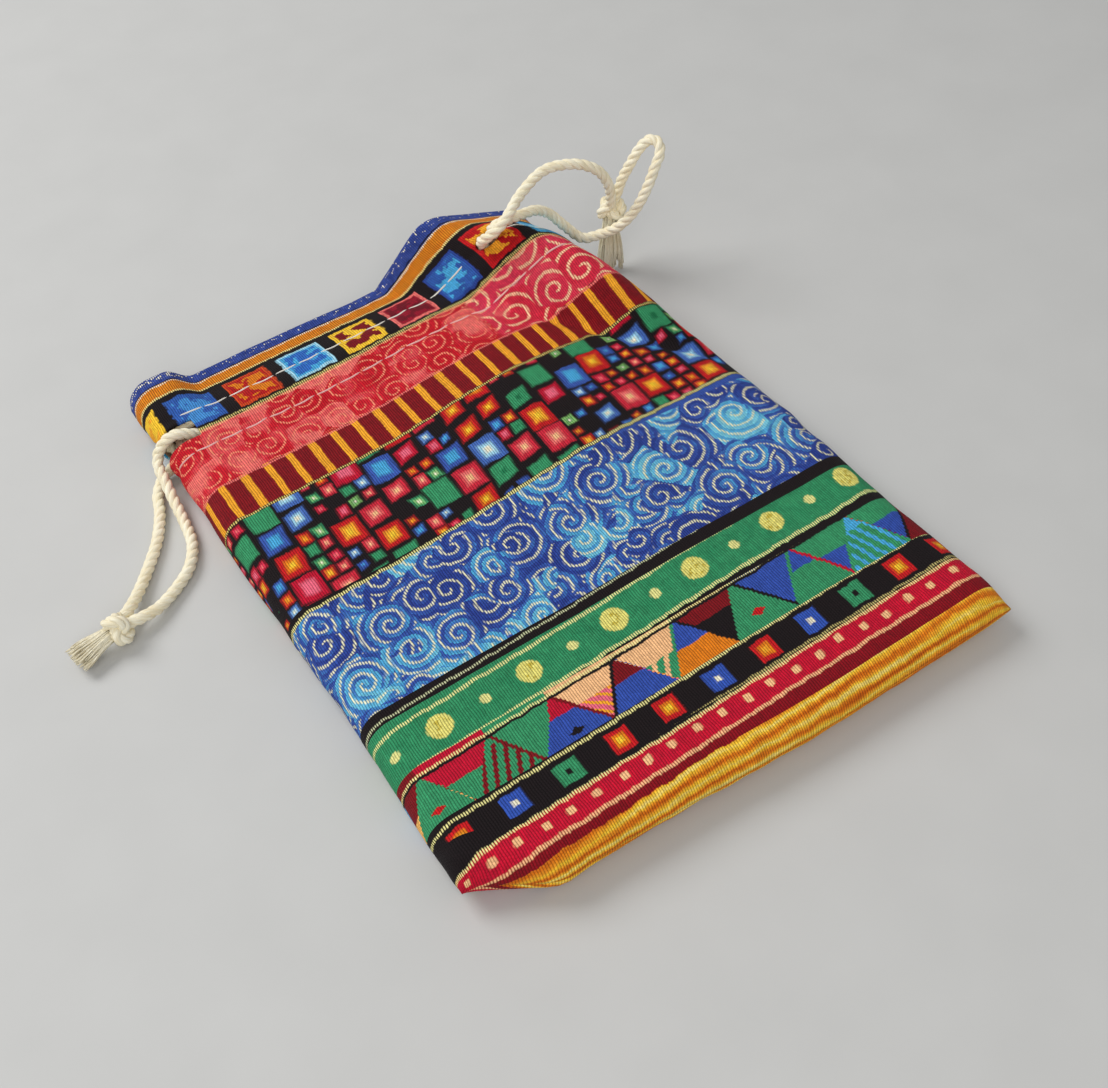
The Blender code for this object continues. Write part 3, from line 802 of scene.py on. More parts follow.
def make_pouch(bands, inside):
    """The cloth: one sheet round the pouch, turned in at the mouth, with the print's coordinates."""
    around = cloth_across()
    rows = cloth_along()
    mesh = bmesh.new()
    uv_layer = mesh.loops.layers.uv.new("print")
    grid = []
    for along, points in cloth_grid(around, rows):
        grid.append((along, [mesh.verts.new(point) for point in points]))
    for index, ((low, below), (high, above)) in enumerate(zip(grid, grid[1:])):
        outer = index + 1 < len(rows)
        middle = (low + high) / 2
        for number, (across, on_front) in enumerate(around):
            after = (number + 1) % len(around)
            next_across, next_front = around[after]
            slit = in_slit((across + next_across) / 2, on_front, middle)
            if outer and (slit or in_hole(around, number, low, high)):
                continue
            face = mesh.faces.new((below[number], below[after], above[after], above[number]))
            face.smooth = True
            face.material_index = band_number(middle) if outer else len(BANDS) - 1
            corners = ((across, on_front, low), (next_across, next_front, low),
                       (next_across, next_front, high), (across, on_front, high))
            for loop, (place, front, along) in zip(face.loops, corners):
                u = print_across(place, on_front, front)
                loop[uv_layer].uv = (u / MM, print_length(place, along) / MM)
    bmesh.ops.remove_doubles(mesh, verts=mesh.verts, dist=SAME_PLACE)
    made = finished(mesh, "printed_pouch", bands + [inside])
    wall = made.modifiers.new("cloth_thickness", "SOLIDIFY")
    wall.thickness = CLOTH
    wall.offset = -1
    wall.material_offset = len(bands)
    return made


def make_stitches(name, distance, spans, material):
    """A row of running stitches round the neck, each a thread that dives into the cloth at its ends."""
    mesh, uv_layer = new_cotton()
    along = MOUTH - distance
    order = random.Random(name)
    for start, end, on_front in spans:
        for index in range(int((end - start) / STITCH)):
            first = start + index * STITCH + STITCH_GAP / 2
            sway = order.uniform(-1, 1) * STITCH_SWAY
            line = []
            for step in range(STITCH_STEPS + 1):
                share = step / STITCH_STEPS
                rise = (0.62 * sin(pi * share) ** 0.5 - 0.32) * THREAD * 1.6
                across = first + (STITCH - STITCH_GAP) * share
                line.append(cloth_point(across, along + sway * (2 * share - 1), on_front, rise))
            sweep(mesh, uv_layer, line, [THREAD] * len(line), THREAD_SIDES)
    return finished(mesh, name, [material])


# Finishes

def dye(red, green, blue):
    """A colour given as it looks on a screen, as the shaders read it."""
    return tuple((part / 255) ** 2.2 for part in (red, green, blue))


SKY = dye(74, 168, 220)
PALE_SKY = dye(160, 212, 232)
BLUE = dye(54, 84, 166)
ORANGE = dye(226, 124, 24)
AMBER = dye(246, 166, 44)
YELLOW = dye(248, 198, 52)
GOLD = dye(236, 228, 150)
BLACK = dye(26, 17, 20)
RED = dye(198, 26, 32)
CRIMSON = dye(194, 14, 50)
MAROON = dye(124, 14, 26)
CORAL = dye(222, 66, 74)
PINK = dye(238, 104, 128)
SALMON = dye(240, 116, 110)
PEACH = dye(248, 190, 136)
GREEN = dye(56, 146, 98)
LEAF = dye(140, 200, 112)
CREAM = dye(238, 232, 205)

# Weave of the print and softness of its edges, in mm where they are lengths
RIB = 0.45
WEFT = 0.5
SHARP = 0.01
CELL_DISORDER = 0.62
WEAVE_DEPTH = 0.16 * MM
PRINT_ROUGHNESS = 0.82
COTTON_ROUGHNESS = 0.88
SPECULAR = 0.25


class Wire:
    """A value that runs between nodes, with Python's operators as Math nodes."""

    def __init__(self, look, socket):
        self.look = look
        self.socket = socket

    def math(self, operation, *others):
        return self.look.add("ShaderNodeMath", {"operation": operation}, dict(enumerate((self, *others))))

    def __add__(self, other):
        return self.math("ADD", other)

    def __sub__(self, other):
        return self.math("SUBTRACT", other)

    def __rsub__(self, other):
        return self.look.add("ShaderNodeMath", {"operation": "SUBTRACT"}, {0: other, 1: self})

    def __mul__(self, other):
        return self.math("MULTIPLY", other)

    def __truediv__(self, other):
        return self.math("DIVIDE", other)

    def __mod__(self, other):
        return self.math("FLOORED_MODULO", other)

    def __pow__(self, other):
        return self.math("POWER", other)

    def __abs__(self):
        return self.math("ABSOLUTE")

    __radd__ = __add__
    __rmul__ = __mul__

    def floor(self):
        return self.math("FLOOR")

    def most(self, other):
        return self.math("MAXIMUM", other)

    def above(self, edge, soft=SHARP):
        """0 below the edge, 1 above it, over a soft width."""
        return self.look.add("ShaderNodeMapRange", {"interpolation_type": "SMOOTHSTEP"}, {
            "Value": self, "From Min": edge - soft / 2, "From Max": edge + soft / 2,
        })

    def below(self, edge, soft=SHARP):
        return 1 - self.above(edge, soft)

    def off_middle(self):
        """Distance from the middle between two whole numbers, from 0 to 0.5."""
        return abs((self % 1.0) - 0.5)


class Look:
    """A material under construction."""

    def __init__(self, name, roughness):
        self.material = bpy.data.materials.new(name)
        self.material.use_nodes = True
        self.tree = self.material.node_tree
        self.shader = self.tree.nodes["Principled BSDF"]
        self.shader.inputs["Roughness"].default_value = roughness
        self.shader.inputs["Specular IOR Level"].default_value = SPECULAR

    def add(self, kind, settings=None, sockets=None, out=0):
        """A new node: its settings or a ramp's stops, then its sockets' values or links."""
        node = self.tree.nodes.new(kind)
        for name, value in (settings or {}).items():
            if name == "stops":
                self.set_stops(node.color_ramp, *value)
            else:
                setattr(node, name, value)
        for name, value in (sockets or {}).items():
            socket = node.inputs[name]
            if isinstance(value, Wire):
                self.tree.links.new(value.socket, socket)
            elif isinstance(value, tuple) and socket.type == "RGBA":
                socket.default_value = (*value, 1)
            else:
                socket.default_value = value
        return Wire(self, node.outputs[out])

    def set_stops(self, ramp, kind, stops):
        ramp.interpolation = kind
        while len(ramp.elements) > 1:
            ramp.elements.remove(ramp.elements[0])
        ramp.elements[0].position = stops[0][0]
        ramp.elements[0].color = (*stops[0][1], 1)
        for place, colour in stops[1:]:
            ramp.elements.new(place).color = (*colour, 1)

    def mix(self, mask, under, over):
        """Colour over, where the mask is 1, on colour under."""
        return self.add("ShaderNodeMix", {"data_type": "RGBA"}, {0: mask, 6: under, 7: over}, 2)

    def tint(self, colour, strength):
        """The colour times a number that changes over the surface."""
        shade = self.add("ShaderNodeCombineColor", None, {0: strength, 1: strength, 2: strength})
        return self.add("ShaderNodeMix", {"data_type": "RGBA", "blend_type": "MULTIPLY"}, {
            0: 1, 6: colour, 7: shade,
        }, 2)

    def steps(self, value, colours):
        """One of several plain colours, by a value from 0 to 1."""
        stops = [(index / len(colours), colour) for index, colour in enumerate(colours)]
        return self.add("ShaderNodeValToRGB", {"stops": ("CONSTANT", stops)}, {0: value})

    def blend(self, value, stops):
        """A smooth run of colours, by a value from 0 to 1."""
        return self.add("ShaderNodeValToRGB", {"stops": ("LINEAR", stops)}, {0: value})

    def vector(self, x, y):
        return self.add("ShaderNodeCombineXYZ", None, {0: x, 1: y})

    def first_two(self, vector):
        """The first two coordinates of a vector."""
        first = self.add("ShaderNodeSeparateXYZ", None, {0: vector})
        return first, Wire(self, first.socket.node.outputs[1])

    def uv(self, name):
        """The two coordinates of a UV map."""
        return self.first_two(self.add("ShaderNodeUVMap", {"uv_map": name}))

    def noise(self, place, scale, detail=2.0, seed=0.0):
        """Smooth noise from 0 to 1, over a vector."""
        moved = self.add("ShaderNodeVectorMath", {"operation": "ADD"}, {
            0: place, 1: (seed, seed * 2, seed * 3),
        })
        return self.add("ShaderNodeTexNoise", {"noise_dimensions": "3D"}, {
            "Vector": moved, "Scale": scale, "Detail": detail,
        })

    def dice(self, value):
        """A random number from 0 to 1 for each whole number."""
        return self.add("ShaderNodeTexWhiteNoise", {"noise_dimensions": "1D"}, {"W": value})

    def dice_pair(self, x, y):
        """A random number from 0 to 1 for each pair of whole numbers."""
        return self.add("ShaderNodeTexWhiteNoise", {"noise_dimensions": "2D"}, {"Vector": self.vector(x, y)})

    def cells(self, place, size, feature):
        """A node for round cells of a size, a little out of line."""
        return self.add("ShaderNodeTexVoronoi", {"voronoi_dimensions": "2D", "feature": feature}, {
            "Vector": place, "Scale": 1 / size, "Randomness": CELL_DISORDER,
        })

    def finish(self, colour, height=None, distance=0.0):
        self.tree.links.new(colour.socket, self.shader.inputs["Base Color"])
        if height is not None:
            raised = self.add("ShaderNodeBump", None, {
                "Strength": 1.0, "Distance": distance, "Height": height,
            })
            self.tree.links.new(raised.socket, self.shader.inputs["Normal"])
        return self.material


class PrintedBand(Look):
    """A band of the printed cloth, crossed by the ribs of the weave, with shade painted into the gaps between
    ribs and threads. Its places and sizes are in mm.
    """

    def __init__(self, name):
        super().__init__(name, PRINT_ROUGHNESS)
        u, v = self.uv("print")
        plain = self.vector(u, v)
        drift = self.noise(plain, 0.35, 1.0, 2.0) - 0.5
        jag = self.noise(plain, 2.6, 0.0, 7.0) - 0.5
        worn = self.noise(plain, 0.9, 3.0, 4.0)
        rib_count = (u + 0.4 * drift) / RIB
        rib = rib_count.floor()
        pick_count = v / WEFT + 0.5 * (rib % 2.0)
        stagger = self.dice(rib) - 0.5
        spot = self.dice_pair(rib, pick_count.floor()) - 0.5
        rib_side = rib_count.off_middle() * 2.0
        pick_side = pick_count.off_middle() * 2.0
        # thread is 1 on the top of each rib and thread and falls off towards the gaps: it shapes the bump,
        # and below it sets the painted shade
        thread = 1 - rib_side * rib_side * rib_side * 0.8 - pick_side * pick_side * 0.3
        self.across = (0.3 * rib_count + 0.7 * (rib + 0.5)) * RIB + jag * 0.12
        self.along = v + drift * 0.9 + jag * 0.2 + stagger * 0.12
        self.place = self.vector(self.across, self.along)
        self.bead = rib_side.below(0.52, 0.45)
        # Painted shade in the gaps between ribs and threads, with tone that differs at random from wear, from
        # rib to rib and from thread to thread
        self.shade = 0.68 + 0.42 * thread + 0.2 * (worn - 0.5) + 0.14 * stagger + 0.24 * spot
        self.height = thread + 0.3 * worn

    def cloud(self, scale, detail=2.0, seed=0.0):
        return self.noise(self.place, scale, detail, seed)

    def mottled(self, scale, soft, colour, other):
        """Two colours in soft patches."""
        return self.mix(self.cloud(scale).above(0.5, soft), colour, other)

    def beads(self, plain):
        """1 along the top of each rib, and the plain share between ribs."""
        return plain + (1 - plain) * self.bead

    def line(self, ground, place, half=0.3, colour=GOLD, plain=0.05):
        """A thin line of the print along the band, one bead to each rib."""
        return self.mix(abs(self.along - place).below(half, 0.3) * self.beads(plain), ground, colour)

    def stacked(self, ground, reach, layers):
        """Shapes on one another, each as far as its own reach."""
        for edge, soft, colour in layers:
            ground = self.mix(reach.below(edge, soft), ground, colour)
        return ground

    def curls(self, size, pitch, width, seed):
        """Spiral lines, one in each cell, with a number for the cell and the place across the line."""
        place = self.vector(self.across + seed, self.along + seed)
        cell = self.cells(place, size, "F1").socket.node.outputs
        lot = self.add("ShaderNodeSeparateColor", None, {0: Wire(self, cell["Color"])})
        start = Wire(self, lot.socket.node.outputs[1])
        border = self.cells(place, size, "DISTANCE_TO_EDGE")
        centre_x, centre_y = self.first_two(Wire(self, cell["Position"]))
        x = self.across + seed - centre_x
        y = self.along + seed - centre_y
        radius = (x * x + y * y) ** 0.5
        hand = lot.above(0.5) * 2.0 - 1.0
        turns = radius / pitch - y.math("ARCTAN2", x) * hand / (2 * pi) + start
        line = turns.off_middle().below(width / pitch / 2, 0.14)
        return line * border.above(0.035, 0.03) * radius.above(0.4, 0.3), lot, turns % 1.0


def orange_stripes(look, across, along):
    """Long soft streaks, like a bundle of thin tubes. The tucked corner shows the next band too."""
    sway = look.noise(look.vector(across * 0.03, along * 0.12), 1.0, 1.0, 4.0)
    tube = (along * 0.40 + 1.6 * sway).off_middle() * 2.0
    run = look.noise(look.vector(across * 0.04, along * 0.9), 1.0, 2.0, 1.0)
    tubes = look.blend(0.48 * (1 - tube) + 0.60 * run - 0.02, (
        (0.24, dye(202, 96, 10)), (0.38, ORANGE), (0.52, AMBER), (0.64, YELLOW), (0.80, dye(250, 222, 120)),
    ))
    return look.mix(along.above(-62.3, 0.2), tubes, crimson_dots(look, across, along))


def crimson_dots(look, across, along):
    """Square dots on crimson, between two lines, over a maroon strip."""
    pitch = 4.8
    number = (across / pitch).floor()
    x = abs((across / pitch % 1.0 - 0.5) * pitch + (look.dice(number + 9.0) - 0.5) * 0.5)
    y = abs(along + 57.9 + (look.dice(number) - 0.5) * 0.8)
    rounded = x.most(y) * 0.6 + (x * x + y * y) ** 0.5 * 0.4
    ground = look.mottled(0.4, 0.5, CRIMSON, dye(206, 16, 50))
    ground = look.mix(rounded.below(0.72, 0.3), ground, PEACH)
    ground = look.mix(along.below(-60.6, 0.2), ground, dye(136, 10, 28))
    ground = look.line(ground, -60.5, 0.34, PEACH, 0.3825)
    ground = look.mix(along.above(-55.7, 0.15), ground, BLACK)
    return look.line(ground, -55.9, 0.36)


def small_squares(look, across, along):
    """A row of small squares, each with a square in it and a bright middle."""
    pitch = 9.6
    count = (across + 3.9) / pitch
    number = count.floor()
    x = count.off_middle() * pitch
    y = abs(along + 52.2 + (look.dice(number + 5.0) - 0.5) * 0.4)
    share = (number + 5.5) / 10.0
    blue = dye(52, 84, 176)
    outer = (RED, blue, GREEN, RED, RED, blue, RED, blue, GREEN, RED)
    middle = (ORANGE, blue, GREEN, ORANGE, ORANGE, blue, ORANGE, blue, GREEN, ORANGE)
    core = (AMBER, CREAM, BLACK, YELLOW, YELLOW, CREAM, AMBER, CREAM, BLACK, YELLOW)
    ground = look.stacked(BLACK, x.most(y), (
        (2.05, 0.3, look.steps(share, outer)),
        (1.15, 0.5, look.steps(share, middle)),
        (0.55, 0.35, look.steps(share, core)),
    ))
    return look.line(look.line(ground, -48.9, 0.34), -55.3, 0.26, dye(190, 176, 110))


def triangles(look, across, along):
    """A patchwork of upright and hanging triangles, plain, striped, split or outlined."""
    width = 12.4
    height = (along + 48.6) / 10.2
    lean = (look.dice((across / width).floor() + 40.0) - 0.5) * 0.12
    place = across / width + lean * (0.5 - height) + 0.35
    off = place.off_middle()
    slope = 0.5 * (1 - height) - off
    upright = slope.above(0.0, 0.03)
    number = (place.floor() * 2.0) * upright + ((place + 0.5).floor() * 2.0 + 1.0) * (1 - upright)
    number = (number + 0.5).floor()
    lot = look.dice(number + 3.0)
    other = look.dice(number + 31.0)
    third = look.dice(number + 77.0)
    blue = dye(52, 80, 168)
    ground = look.steps(lot, (GREEN, blue, dye(246, 184, 100), MAROON, dye(60, 150, 96), GREEN, blue, ORANGE,
                              PINK, BLACK))
    second = look.steps(other, (SKY, GREEN, CRIMSON, BLACK, MAROON, blue, PEACH, GREEN, SKY, CRIMSON))
    split = (height + third * 0.4 - 0.2 + (place - 0.5) * (other - 0.5) * 0.02).above(0.62, 0.02)
    ground = look.mix(split * third.above(0.3), ground, second)
    slant = across * (0.45 + 0.5 * (other - 0.5)) + along * (lot - 0.3)
    stripe = (slant * 0.8).off_middle().above(0.30, 0.08) * other.above(0.58) * (1 - split)
    ground = look.mix(stripe, ground, look.steps(third, (MAROON, SKY, CRIMSON, AMBER, PEACH)))
    from_middle = abs(place % 1.0 - 0.5) * width
    mark = (from_middle * 0.5 + abs(along + 45.6 + third * 2.0)).below(0.75, 0.2)
    ground = look.mix(mark * upright * other.below(0.45), ground, look.steps(lot, (BLACK, RED, SKY)))
    side = (place * 2.0).floor()
    outline = abs(slope).below(0.028, 0.02) * look.dice(side + 5.0).above(0.3)
    ground = look.mix(outline, ground, look.steps(look.dice(side + 13.0), (CRIMSON, BLACK, MAROON, GREEN)))
    ground = look.mix(abs(along + 38.9).below(0.3, 0.2), ground, BLACK)
    return look.line(ground, -38.35)


def green_dots(look, across, along):
    """Large round dots with small ones halfway between them."""
    pitch = 17.3
    count = (across + 5.6) / pitch
    number = (count + 0.5).floor()
    x = across + 5.6 - number * pitch
    small_x = count.off_middle() * pitch
    radius = (x * x + (along + 32.4) ** 2.0) ** 0.5
    small_radius = (small_x * small_x + (along + 32.5) ** 2.0) ** 0.5
    ground = look.mottled(0.4, 0.6, GREEN, dye(44, 132, 88))
    ground = look.mix((radius - 0.3 * look.dice(number + 2.0)).below(2.15, 0.4), ground, dye(232, 222, 120))
    ground = look.mix(radius.below(1.8, 0.6) * look.cloud(1.1).above(0.56, 0.1), ground, dye(198, 178, 70))
    ground = look.mix(small_radius.below(1.0, 0.35), ground, dye(226, 222, 140))
    ground = look.line(ground, -28.3, 0.36)
    ground = look.mix(along.below(-37.5, 0.15), ground, BLACK)
    return look.line(ground, -37.1, 0.36)


def black_line(look, across, along):
    return look.line(BLACK, -25.7, 0.24, dye(200, 204, 160))


def blue_spirals(look, across, along):
    """Cream spirals of two sizes, on blue that brightens in patches and along their arms."""
    choice = look.cloud(0.12, 1.0, 3.0).above(0.53, 0.02)
    lines, lot, arm = (wide * (1 - choice) + narrow * choice for wide, narrow in zip(
        look.curls(9.4, 2.2, 0.52, 3.0), look.curls(7.4, 2.0, 0.5, 41.0)))
    patch = look.cloud(0.09, 2.0, 9.0)
    ground = look.blend(0.48 * patch + 0.28 * lot + 0.12 * look.cloud(0.55, 3.0, 3.0) + 0.14 * arm, (
        (0.40, dye(42, 62, 140)), (0.51, BLUE), (0.57, dye(64, 116, 188)), (0.63, dye(78, 164, 212)),
        (0.76, dye(124, 204, 222)),
    ))
    ground = look.mix(lines * look.beads(0.25), ground, dye(232, 228, 186))
    ground = look.mix(along.above(0.2, 0.15), ground, BLACK)
    return look.line(ground, 0.55, 0.32)


def scattered_squares(look, across, along):
    """Squares of two sizes, close together in uneven columns, each with a brighter middle."""
    size = 5.9
    column = (across / size).floor()
    v = along + look.dice(column + 7.0) * 23.0
    small = look.dice_pair(column, (v / size).floor()).above(0.56)
    cell = size * (1 - 0.5 * small)
    number_x = (across / cell).floor()
    number_y = (v / cell).floor()
    lot = look.dice_pair(number_x + 31.0 * small, number_y)
    other = look.dice_pair(number_x + 71.0, number_y + 13.0 * small)
    x = ((across / cell % 1.0) - 0.5) * cell + (other - 0.5) * 0.5
    y = ((v / cell % 1.0) - 0.5) * cell + (lot - 0.5) * 0.5
    reach = abs(x + (lot - 0.5) * 0.35 * y).most(abs(y - (other - 0.5) * 0.35 * x) * (0.85 + 0.3 * other))
    left_out = 4.0 * (small * lot.below(0.12))
    half = cell * 0.5 - 0.28 - other * 0.36 * (2.0 - small) - left_out
    blue = dye(58, 88, 170)
    outer = (RED, GREEN, blue, CRIMSON, RED, dye(206, 40, 60), dye(70, 106, 182), GREEN, RED, LEAF, blue,
             dye(166, 24, 34), CRIMSON, GREEN)
    middle = (ORANGE, GREEN, SKY, PINK, AMBER, SALMON, PALE_SKY, GREEN, ORANGE, dye(44, 120, 70), blue,
              ORANGE, dye(236, 70, 100), LEAF)
    core = (YELLOW, dye(30, 112, 72), SKY, PINK, YELLOW, PEACH, CREAM, GREEN, AMBER, CREAM, SKY, AMBER,
            SALMON, CREAM)
    ground = BLACK
    for share, soft, colours in ((1.0, 0.75, outer), (0.52, 0.9, middle), (0.24, 0.6, core)):
        ground = look.mix((reach - half * share).below(0.0, soft), ground, look.steps(lot, colours))
    ground = look.mix(along.below(1.0, 0.2), ground, BLACK)
    ground = look.mix(along.below(0.1, 0.15), ground, BLUE)
    return look.line(ground, 0.55, 0.32)


def bars(look, across, along):
    """Amber bars on maroon, across the band."""
    pitch = 4.65
    ground = look.mottled(0.7, 0.5, dye(132, 16, 26), MAROON)
    ground = look.mix((across / pitch).off_middle().above(0.5 - 0.72 / pitch, 0.04), ground, AMBER)
    ground = look.mix(along.below(25.2, 0.2), ground, BLACK)
    ground = look.line(ground, 24.85, 0.26, dye(220, 196, 110))
    return look.line(ground, 34.15, 0.26, SALMON, 0.43)


def coral_spirals(look, across, along):
    """Cloudy reds and pinks under fine spirals, which are larger and paler on the raised corner."""
    fine, fine_lot, _ = look.curls(6.6, 1.7, 0.42, 17.0)
    large, large_lot, _ = look.curls(8.6, 2.4, 0.62, 5.0)
    raised = (across + 2.0 * look.cloud(0.3)).above(17.0, 1.5)
    plain = look.cloud(0.14, 2.0, 31.0).above(0.56, 0.12) * (1 - raised)
    ground = look.blend(0.55 * look.cloud(0.16, 3.0, 6.0) + 0.35 * fine_lot + 0.14 * plain, (
        (0.34, dye(196, 18, 36)), (0.48, dye(206, 30, 46)), (0.56, CORAL), (0.66, dye(238, 110, 104)),
    ))
    ground = look.mix(raised * (0.3 + 0.6 * large_lot), ground, dye(222, 58, 88))
    fine = fine * (1 - raised) * (1 - 0.75 * plain) * look.beads(0.45)
    ground = look.mix(fine, ground, dye(246, 140, 110))
    ground = look.mix(large * raised * look.beads(0.5), ground, dye(250, 204, 160))
    return look.line(ground, 49.2, 0.22, dye(246, 190, 130))


def large_squares(look, across, along):
    """A row of large rough squares, each with a rim and a patch of a second colour."""
    pitch = 11.9
    from_first = across + 41.5
    number = (from_first / pitch + 0.5).floor()
    rough = (look.cloud(0.7, 2.0, 1.0) - 0.5) * 0.6
    reach = abs(from_first - number * pitch).most(abs(along - 55.7) * 0.9) + rough
    share = (number + 1.5) / 9.0
    blue = dye(50, 92, 172)
    edge = (YELLOW, blue, dye(206, 70, 30), PALE_SKY, YELLOW, SALMON, dye(44, 70, 150), RED, SKY)
    outer = (YELLOW, blue, dye(180, 24, 26), SKY, YELLOW, dye(150, 16, 44), blue, dye(180, 20, 26), SKY)
    inner = (AMBER, dye(70, 140, 210), ORANGE, dye(48, 104, 190), MAROON, dye(112, 12, 34), SKY, AMBER,
             PALE_SKY)
    ground = look.stacked(BLACK, reach, (
        (4.6, 0.25, look.steps(share, edge)),
        (4.0, 0.25, look.steps(share, outer)),
    ))
    patch = (look.cloud(0.36, 2.0, 13.0) + 0.16 - reach * 0.035).above(0.56, 0.04)
    ground = look.mix(patch * reach.below(3.6, 0.3), ground, look.steps(share, inner))
    return look.line(ground, 49.75, 0.3, dye(214, 200, 120))


def orange_stripe(look, across, along):
    """A strongly ribbed orange stripe, its ribs drawn with shade painted between them, with a pale line on
    each side.
    """
    streak = look.noise(look.vector(across * 0.2, along), 1.2).above(0.5, 0.5)
    # Painted shade: the orange is darker between the ribs
    ground = look.tint(look.mix(streak, dye(232, 140, 30), ORANGE), look.beads(0.62))
    ground = look.mix(along.below(62.4, 0.15), ground, BLACK)
    return look.line(look.line(ground, 62.55, 0.26), 65.7, 0.22, CREAM)


def blue_edge(look, across, along):
    """Blue at the mouth, worn to the pale yarn in flecks, most of all at the left."""
    worn = 0.1 * across.below(-40.0, 3.0)
    fleck = (look.noise(look.vector(across * 0.9, along * 1.6), 1.0, 1.0, 15.0) + worn).above(0.64, 0.05)
    ground = look.mottled(0.6, 0.5, dye(60, 80, 156), dye(44, 62, 132))
    ground = look.mix(fleck * along.above(67.2, 0.4) * look.bead, ground, CREAM)
    return look.mix(abs(along - 66.05).below(0.14, 0.15), ground, BLACK)


# Printed bands from the bottom fold to the mouth, and the distance of each one's lower border from the mouth
BANDS = (
    (orange_stripes, 140 * MM),
    (crimson_dots, 132 * MM),
    (small_squares, 124.6 * MM),
    (triangles, 117.6 * MM),
    (green_dots, 107 * MM),
    (black_line, 97 * MM),
    (blue_spirals, 94.4 * MM),
    (scattered_squares, 68.7 * MM),
    (bars, 44.5 * MM),
    (coral_spirals, 34.6 * MM),
    (large_squares, 19.6 * MM),
    (orange_stripe, 7 * MM),
    (blue_edge, 3.1 * MM),
)


def print_cloth(paint):
    """The material of a band, from the function that paints it."""
    look = PrintedBand(paint.__name__)
    colour = paint(look, look.across, look.along)
    # The band's colour is multiplied by the painted shade between ribs and threads and by the random tone
    return look.finish(look.tint(colour, look.shade), look.height, WEAVE_DEPTH)


def wrong_side():
    """The unprinted side of the cloth, through which the print shows faintly."""
    look = Look("wrong_side", 0.9)
    u, v = look.uv("print")
    rib = (u / RIB).off_middle() * 2.0
    cloud = look.noise(look.vector(u, v), 0.15, 2.0, 3.0)
    colour = look.blend(cloud, ((0.35, dye(190, 150, 130)), (0.65, dye(222, 196, 170))))
    # Painted shade between the ribs darkens the colour; the same rib profile drives the bump
    return look.finish(look.tint(colour, 0.8 + 0.2 * (1 - rib * rib)), 1 - rib * rib, 0.1 * MM)


def cotton(name, colour, dark):
    """Cotton, with fine fibres along each ply."""
    look = Look(name, COTTON_ROUGHNESS)
    turn, run = look.uv("along")
    fibre = look.noise(look.vector(turn * 26.0 + run * 1.1, run * 0.55), 1.0, 2.0, 1.0)
    soft = look.noise(look.vector(turn * 3.0, run * 0.25), 1.0, 2.0, 5.0)
    tone = look.blend(0.6 * fibre + 0.4 * soft, ((0.34, dark), (0.62, colour)))
    return look.finish(tone, fibre, 0.12 * MM)


# Surroundings

SKY_STRENGTH = 0.36
TABLE_SIZE = 6
TABLE_ROUGHNESS = 0.6
# Lamps: name, place, diameter and power
LAMPS = (
    ("window", (-0.28, 0.5, 0.6), 0.5, 4.0),
    ("fill", (-0.3, -0.42, 0.5), 0.6, 2.0),
)


def add_lamp(name, place, size, power):
    """A round soft lamp that shines on the middle of the pouch."""
    data = bpy.data.lights.new(name, "AREA")
    data.shape = "DISK"
    data.size = size
    data.energy = power
    light = bpy.data.objects.new(name, data)
    light.location = place
    light.rotation_euler = (-Vector(place)).to_track_quat("-Z", "Y").to_euler()
    bpy.context.scene.collection.objects.link(light)


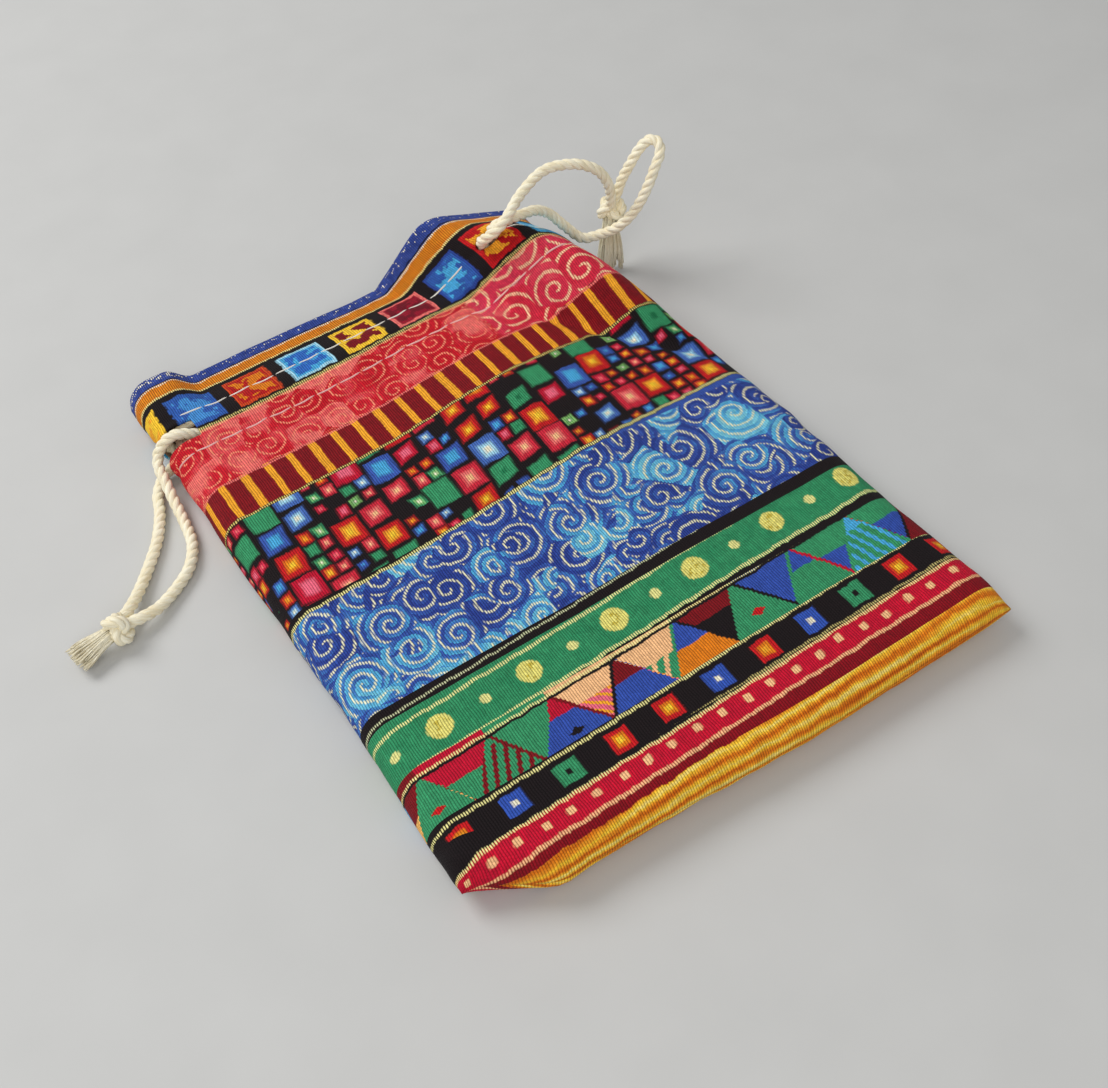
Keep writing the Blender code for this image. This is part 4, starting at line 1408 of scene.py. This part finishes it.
def make_surroundings():
    """A pale table, a soft lamp from the upper left, a weaker one from the lower left, and an even sky."""
    scene = bpy.context.scene
    scene.view_settings.view_transform = "Standard"
    scene.world = bpy.data.worlds.new("studio")
    scene.world.use_nodes = True
    background = scene.world.node_tree.nodes["Background"]
    background.inputs["Color"].default_value = (1, 1, 1, 1)
    background.inputs["Strength"].default_value = SKY_STRENGTH
    for lamp in LAMPS:
        add_lamp(*lamp)
    bpy.ops.object.select_all(action="DESELECT")
    bpy.ops.mesh.primitive_plane_add(size=TABLE_SIZE)
    floor = bpy.context.active_object
    floor.name = "table_top"
    look = Look("table", TABLE_ROUGHNESS)
    grain = look.noise(look.add("ShaderNodeTexCoord", None, None, 3), 60.0, 3.0)
    look.finish(look.blend(grain, ((0.3, dye(194, 194, 192)), (0.7, dye(197, 197, 195)))))
    floor.data.materials.append(look.material)


# Assembly

def make_drawstring(side, route, knot, axis, wide, spin, length, yarn):
    """One drawstring with the knot that joins its ends, and the frayed ends beyond it."""
    line = smooth_route(route, CORD_STEP)
    cord = make_twisted(side + "_cord", line, yarn)
    lump = make_twisted(side + "_overhand_knot", knot_line(knot, axis, wide, spin), yarn)
    start = knot + axis.normalized() * TASSEL_START
    ends = make_tassel(side + "_frayed_ends", start, axis, wide, length, yarn, side)
    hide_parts(side + "_drawstring")
    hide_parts(side + "_knot")
    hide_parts(side + "_tassel")
    line_length(line)
    return cord, lump, ends


def main():
    make_camera()
    make_surroundings()
    yarn = cotton("cotton_yarn", dye(255, 250, 228), dye(238, 222, 182))
    thread = cotton("sewing_thread", dye(250, 246, 236), dye(226, 220, 206))
    pink_thread = cotton("lower_sewing_thread", dye(252, 206, 200), dye(230, 160, 156))
    left = make_drawstring("left", left_route(), LEFT_KNOT, LEFT_AXIS, LEFT_WIDE, LEFT_SPIN,
                           LEFT_TASSEL_LENGTH, yarn)
    right = make_drawstring("right", right_route(), RIGHT_KNOT, RIGHT_AXIS, RIGHT_WIDE, RIGHT_SPIN,
                            RIGHT_TASSEL_LENGTH, yarn)
    bands = [print_cloth(paint) for paint, _ in BANDS]
    pouch = make_pouch(bands, wrong_side())
    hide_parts("pouch_cloth")
    reach = SEAM - STITCH_END
    hole_left = HOLE_CENTRE[0] - HOLE_SIZE[0]
    hole_right = HOLE_CENTRE[0] + HOLE_SIZE[0] + MM
    upper = make_stitches("upper_stitches", UPPER_STITCHES, (
        (UPPER_STITCHES_START, hole_left, True), (hole_right, reach, True), (-reach, reach, False)), thread)
    lower = make_stitches("lower_stitches", LOWER_STITCHES, (
        (-reach, reach, True), (-reach, reach, False)), pink_thread)
    for piece in (pouch, upper, lower, *left, *right):
        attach(piece, "root")


main()
